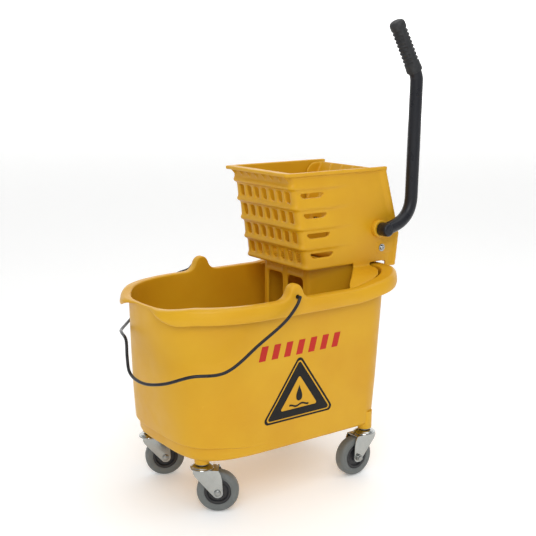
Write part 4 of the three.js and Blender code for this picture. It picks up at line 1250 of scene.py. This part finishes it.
def caster_pieces():
    """One caster, its stem on the Z axis and its wheel trailing towards +X."""
    wheel = setting("mop_bucket_casters", "wheel") / 2
    half = setting("mop_bucket_casters", "width") / 2
    trail, inner, sheet = 28.0, half + 1.6, 2.6
    outer = inner + sheet
    crown = 2 * wheel + 1.6
    top = crown + sheet
    legs = []
    outline = [
        (-15, top), (-15.5, crown - 2), (-12, crown - 9), (trail - 9.2, wheel - 4.2),
        *arc(trail, wheel, 9.6, 205, 360, 12),
        (trail + 8.4, crown - 16), (trail + 6, crown - 5), (trail + 2, top),
    ]
    for side in (-1, 1):
        y0, y1 = sorted((side * inner, side * outer))
        legs.append(slab("leg", outline, y0, y1))
    bridge = slab("caster_fork", rounded_box(-15.5, trail + 2, -outer, outer, 3), crown, top, "Z")
    combined(bridge, legs)
    bevelled(bridge, 0.9, 2, 50)
    race = [
        (0, top - 1.5), (19.5, top - 1.5), (21.2, top - 0.6), (21.6, top + 1.0), (21.0, top + 2.0), (19.4,
        top + 2.6),
        (18.8, top + 3.2), (17.2, top + 4.6), (14.2, top + 5.8), (11, top + 6), (8.5, top + 6), (0,
        top + 6),
    ]
    dome = spun("dome", race, (0, 0, 0), steps=64)
    combined(bridge, [dome])
    bore = spun("bore", rod_profile(5.9, crown - 3, top + 8), (0, 0, 0), steps=32)
    pin = spun("pin", rod_profile(4.3, -outer - 2, outer + 2), (trail, 0, wheel), (0, 1, 0), 24)
    combined(bridge, [bore, pin], "DIFFERENCE")
    smooth_faces(bridge, 35)

    face = outer + 0.3
    bolt = spun("caster_axle", [
        (0, -face - 3.2), (4.6, -face - 3.2), (5.9, -face - 2.3), (6.4, -face - 1.0), (6.4, -face), (3.9,
        -face),
        (3.9, face + 6), (3.1, face + 6.6), (0, face + 6.6),
    ], (trail, 0, wheel), (0, 1, 0), 32)
    smooth_faces(bolt, 35)
    clear()
    bpy.ops.mesh.primitive_cylinder_add(vertices=6, radius=7.5, depth=5, location=(0, 0, 0))
    nut = added("caster_nut")
    nut.data.transform(
        Matrix.Translation((trail, face + 2.5, wheel)) @ Matrix.Rotation(math.radians(90), 4, "X")
    )
    weld(nut)
    combined(
        nut, [
            spun("thread", rod_profile(4.3, 0, 40), (trail, face - 8, wheel), (0, 1, 0), 24)
        ], "DIFFERENCE"
    )
    bevelled(nut, 0.7, 2, 40)
    smooth_faces(nut, 35)

    tread = [
        (24.3, half - 1.4), (27, half - 0.6), (30, half), (33.2, half - 0.2), (35.8, half - 1.5), (37.3,
        half - 3.6), (wheel, half - 6.6)
    ]
    profile = [(24.3, -half + 1.4), *[(r, -h) for r, h in tread[1:]], *tread[::-1][:-1], (24.3, half - 1.4)]
    tyre = spun("caster_tyre", profile, (trail, 0, wheel), (0, 1, 0), 96)
    smooth_faces(tyre, 60)
    web = half - 1
    rim = [(4.4, web + 1), (8.6, web + 1), (9.4, web + 0.4), (10.2, web - 2.6), (13, web - 3.4), (17.6,
    web - 3.2),
           (18.8, web - 0.8), (20, web), (22.6, web - 0.1), (24, web - 1.0)]
    profile = [*[(r, -h) for r, h in rim], *rim[::-1]]
    hub = spun("caster_hub", profile, (trail, 0, wheel), (0, 1, 0), 72)
    smooth_faces(hub, 35)
    stem_top = top + 6 + 0.3
    stem = spun("caster_stem", [
        (0, crown + 0.6), (5.5, crown + 0.6), (5.5, stem_top), (9.2, stem_top), (10, stem_top + 0.6),
        (10, stem_top + 1.5), (9.2, stem_top + 2.1), (5.5, stem_top + 2.1), (5.5, SOCKET + 29), (4.6,
        SOCKET + 30), (0, SOCKET + 30),
    ], (0, 0, 0), steps=40)
    smooth_faces(stem, 35)
    return {"fork": bridge, "axle": bolt, "nut": nut, "tyre": tyre, "hub": hub, "stem": stem}


CASTER_LOOKS = {
    "fork": ("fork_{}", "chrome", "chrome_steel"),
    "axle": ("fork_{}", "zinc", "zinc_steel"),
    "nut": ("fork_{}", "zinc", "zinc_steel"),
    "tyre": ("wheel_{}", "tyre", "grey_tyre"),
    "hub": ("wheel_{}", "nylon", "black_nylon"),
    "stem": ("bucket", "zinc", "zinc_steel"),
}


class MOPBUCKET_OT_casters(bpy.types.Operator):
    """Model one swivel caster and set a copy under each corner of the bucket"""

    bl_idname = "mop_bucket.casters"
    bl_label = "Casters"

    def execute(self, context):
        masters = caster_pieces()
        for place, (x, y, heading) in CASTERS.items():
            spot = Matrix.Translation((x, y, 0))
            turned = spot @ Matrix.Rotation(math.radians(heading), 4, "Z")
            for part, (body, finish, slot) in CASTER_LOOKS.items():
                only(masters[part])
                bpy.ops.object.duplicate()
                copy = added(f"{part}_{place}_piece")
                copy.data.transform(spot if part == "stem" else turned)
                settled(copy, body.format(place), FINISHES[finish], [f"caster_{part}_{place}"])
        for master in masters.values():
            bpy.data.objects.remove(master)
        return {"FINISHED"}


# ---------------------------------------------------------------- carried-over nodes


CARRIED = {
    "press_shaft": "zinc",
    "plate_pivot_rod": "zinc",
    "shaft_retainer": "nylon",
    "shaft_gear_near": "white",
    "shaft_gear_far": "white",
    "plate_gear_near": "white",
    "plate_gear_far": "white",
    "side_screw_near": "zinc",
    "side_screw_far": "zinc",
}


class MOPBUCKET_OT_hardware(bpy.types.Operator):
    """Finish the shaft, gears, rod and retainer, and model the side screws"""

    bl_idname = "mop_bucket.hardware"
    bl_label = "Hardware"

    def execute(self, context):
        for node, finish in CARRIED.items():
            mesh = frame["nodes"][node].data
            mesh.materials.clear()
            mesh.materials.append(FINISHES[finish])
        for name, side in SIDES.items():
            face = HALF + 1.5 + 0.3
            head = [
                (0, -8), (2, -8), (2, 0), (7.2, 0), (7.2, 0.9), (4.9, 1.0), (4.9, 3.0), (4.2, 3.6), (1.7,
                3.6), (1.4, 2.6), (0, 2.6)
            ]
            screw = spun(f"screw_{name}", head, (242, side * face, 435), (0, side, 0), 40)
            settled(
                smooth_faces(screw, 35), "wringer", FINISHES["chrome"],
                [f"side_screw_{name}"]
            )
        return {"FINISHED"}


# ---------------------------------------------------------------- stage

CAMERA_AT = (-1035.3577, -1495.9957, 785.5947)
CAMERA_TURN = 0.622215
CAMERA_DIP = 0.205244
CAMERA_LENS = 65.656


class MOPBUCKET_OT_stage(bpy.types.Operator):
    """Set the pale floor, the soft lights and the camera"""

    bl_idname = "mop_bucket.stage"
    bl_label = "Stage"

    def execute(self, context):
        scene = context.scene
        clear()
        bpy.ops.mesh.primitive_plane_add(size=40, location=(0, 0, -0.0004))
        floor = added("floor")
        surface = Finish("Pale floor", (0.93, 0.93, 0.925), 0.7)
        surface.shade(
            "Base Color", surface.mixed(surface.noise(3, 2), (0.955, 0.955, 0.95), (0.97, 0.97, 0.965))
        )
        floor.data.materials.append(surface.material)
        surface.shader.inputs["Emission Color"].default_value = (1, 1, 1, 1)
        surface.shader.inputs["Emission Strength"].default_value = 0.16
        bpy.ops.mesh.primitive_plane_add(
            size=36, location=(6.98, 9.76, 0), rotation=(math.pi / 2, 0, -CAMERA_TURN)
        )
        backdrop = added("backdrop")
        paper = Finish("Backdrop paper", (0.95, 0.95, 0.945), 0.8)
        paper.shade("Base Color", paper.mixed(paper.noise(2, 2), (0.93, 0.93, 0.925), (0.95, 0.95, 0.945)))
        paper.shader.inputs["Emission Color"].default_value = (1, 1, 1, 1)
        paper.shader.inputs["Emission Strength"].default_value = 0.85
        backdrop.data.materials.append(paper.material)
        world = bpy.data.worlds.new("Studio")
        scene.world = world
        world.use_nodes = True
        world.node_tree.nodes["Background"].inputs["Color"].default_value = (1, 1, 1, 1)
        world.node_tree.nodes["Background"].inputs["Strength"].default_value = 0.47
        for name, place, size, power in (
            ("Key softbox", (-1.7, -2.3, 2.2), 1.6, 38),
            ("Top softbox", (0.2, -0.6, 2.9), 2.2, 22),
            ("Fill softbox", (2.3, -1.4, 1.3), 1.8, 3),
        ):
            lamp = bpy.data.lights.new(name, "AREA")
            lamp.shape = "SQUARE"
            lamp.size = size
            lamp.energy = power
            holder = bpy.data.objects.new(name, lamp)
            scene.collection.objects.link(holder)
            holder.location = place
            aim = Vector((0, 0, 0.35)) - Vector(place)
            holder.rotation_euler = aim.to_track_quat("-Z", "Y").to_euler()
        data = bpy.data.cameras.new("Camera")
        camera = bpy.data.objects.new("Camera", data)
        scene.collection.objects.link(camera)
        sine, cosine = math.sin(CAMERA_TURN), math.cos(CAMERA_TURN)
        ahead = Vector((sine * math.cos(CAMERA_DIP), cosine * math.cos(CAMERA_DIP), -math.sin(CAMERA_DIP)))
        right = Vector((cosine, -sine, 0))
        up = right.cross(ahead)
        camera.matrix_world = Matrix.Translation(TO_FRAME @ Vector(CAMERA_AT)) @ Matrix(
            ((right.x, up.x, -ahead.x), (right.y, up.y, -ahead.y), (right.z, up.z, -ahead.z))
        ).to_4x4()
        data.lens = CAMERA_LENS
        data.sensor_width = 36
        scene.camera = camera
        scene.view_settings.view_transform = "Standard"
        return {"FINISHED"}


# ---------------------------------------------------------------- sidebar

OPERATORS = (
    MOPBUCKET_OT_bucket,
    MOPBUCKET_OT_graphics,
    MOPBUCKET_OT_bail,
    MOPBUCKET_OT_wringer,
    MOPBUCKET_OT_lever,
    MOPBUCKET_OT_casters,
    MOPBUCKET_OT_hardware,
    MOPBUCKET_OT_stage,
)


class MOPBUCKET_PT_sidebar(bpy.types.Panel):
    bl_idname = "MOPBUCKET_PT_sidebar"
    bl_label = "Mop Bucket"
    bl_space_type = "VIEW_3D"
    bl_region_type = "UI"
    bl_category = "Mop Bucket"

    def draw(self, context):
        for name in GROUPS:
            box = self.layout.box()
            group = getattr(context.scene, name)
            for key in group.bl_rna.properties.keys():
                if key not in ("rna_type", "name"):
                    box.prop(group, key)
        for operator in OPERATORS:
            self.layout.operator(operator.bl_idname)


CLASSES = (*GROUPS.values(), *OPERATORS, MOPBUCKET_PT_sidebar)


def register():
    for cls in CLASSES:
        bpy.utils.register_class(cls)
    for name, group in GROUPS.items():
        setattr(bpy.types.Scene, name, bpy.props.PointerProperty(type=group))


def unregister():
    for name in GROUPS:
        delattr(bpy.types.Scene, name)
    for cls in reversed(CLASSES):
        bpy.utils.unregister_class(cls)


def main():
    register()
    make_finishes()
    for operator in OPERATORS:
        group, name = operator.bl_idname.split(".")
        getattr(getattr(bpy.ops, group), name)()
    clear()


if __name__ == "__main__":
    main()
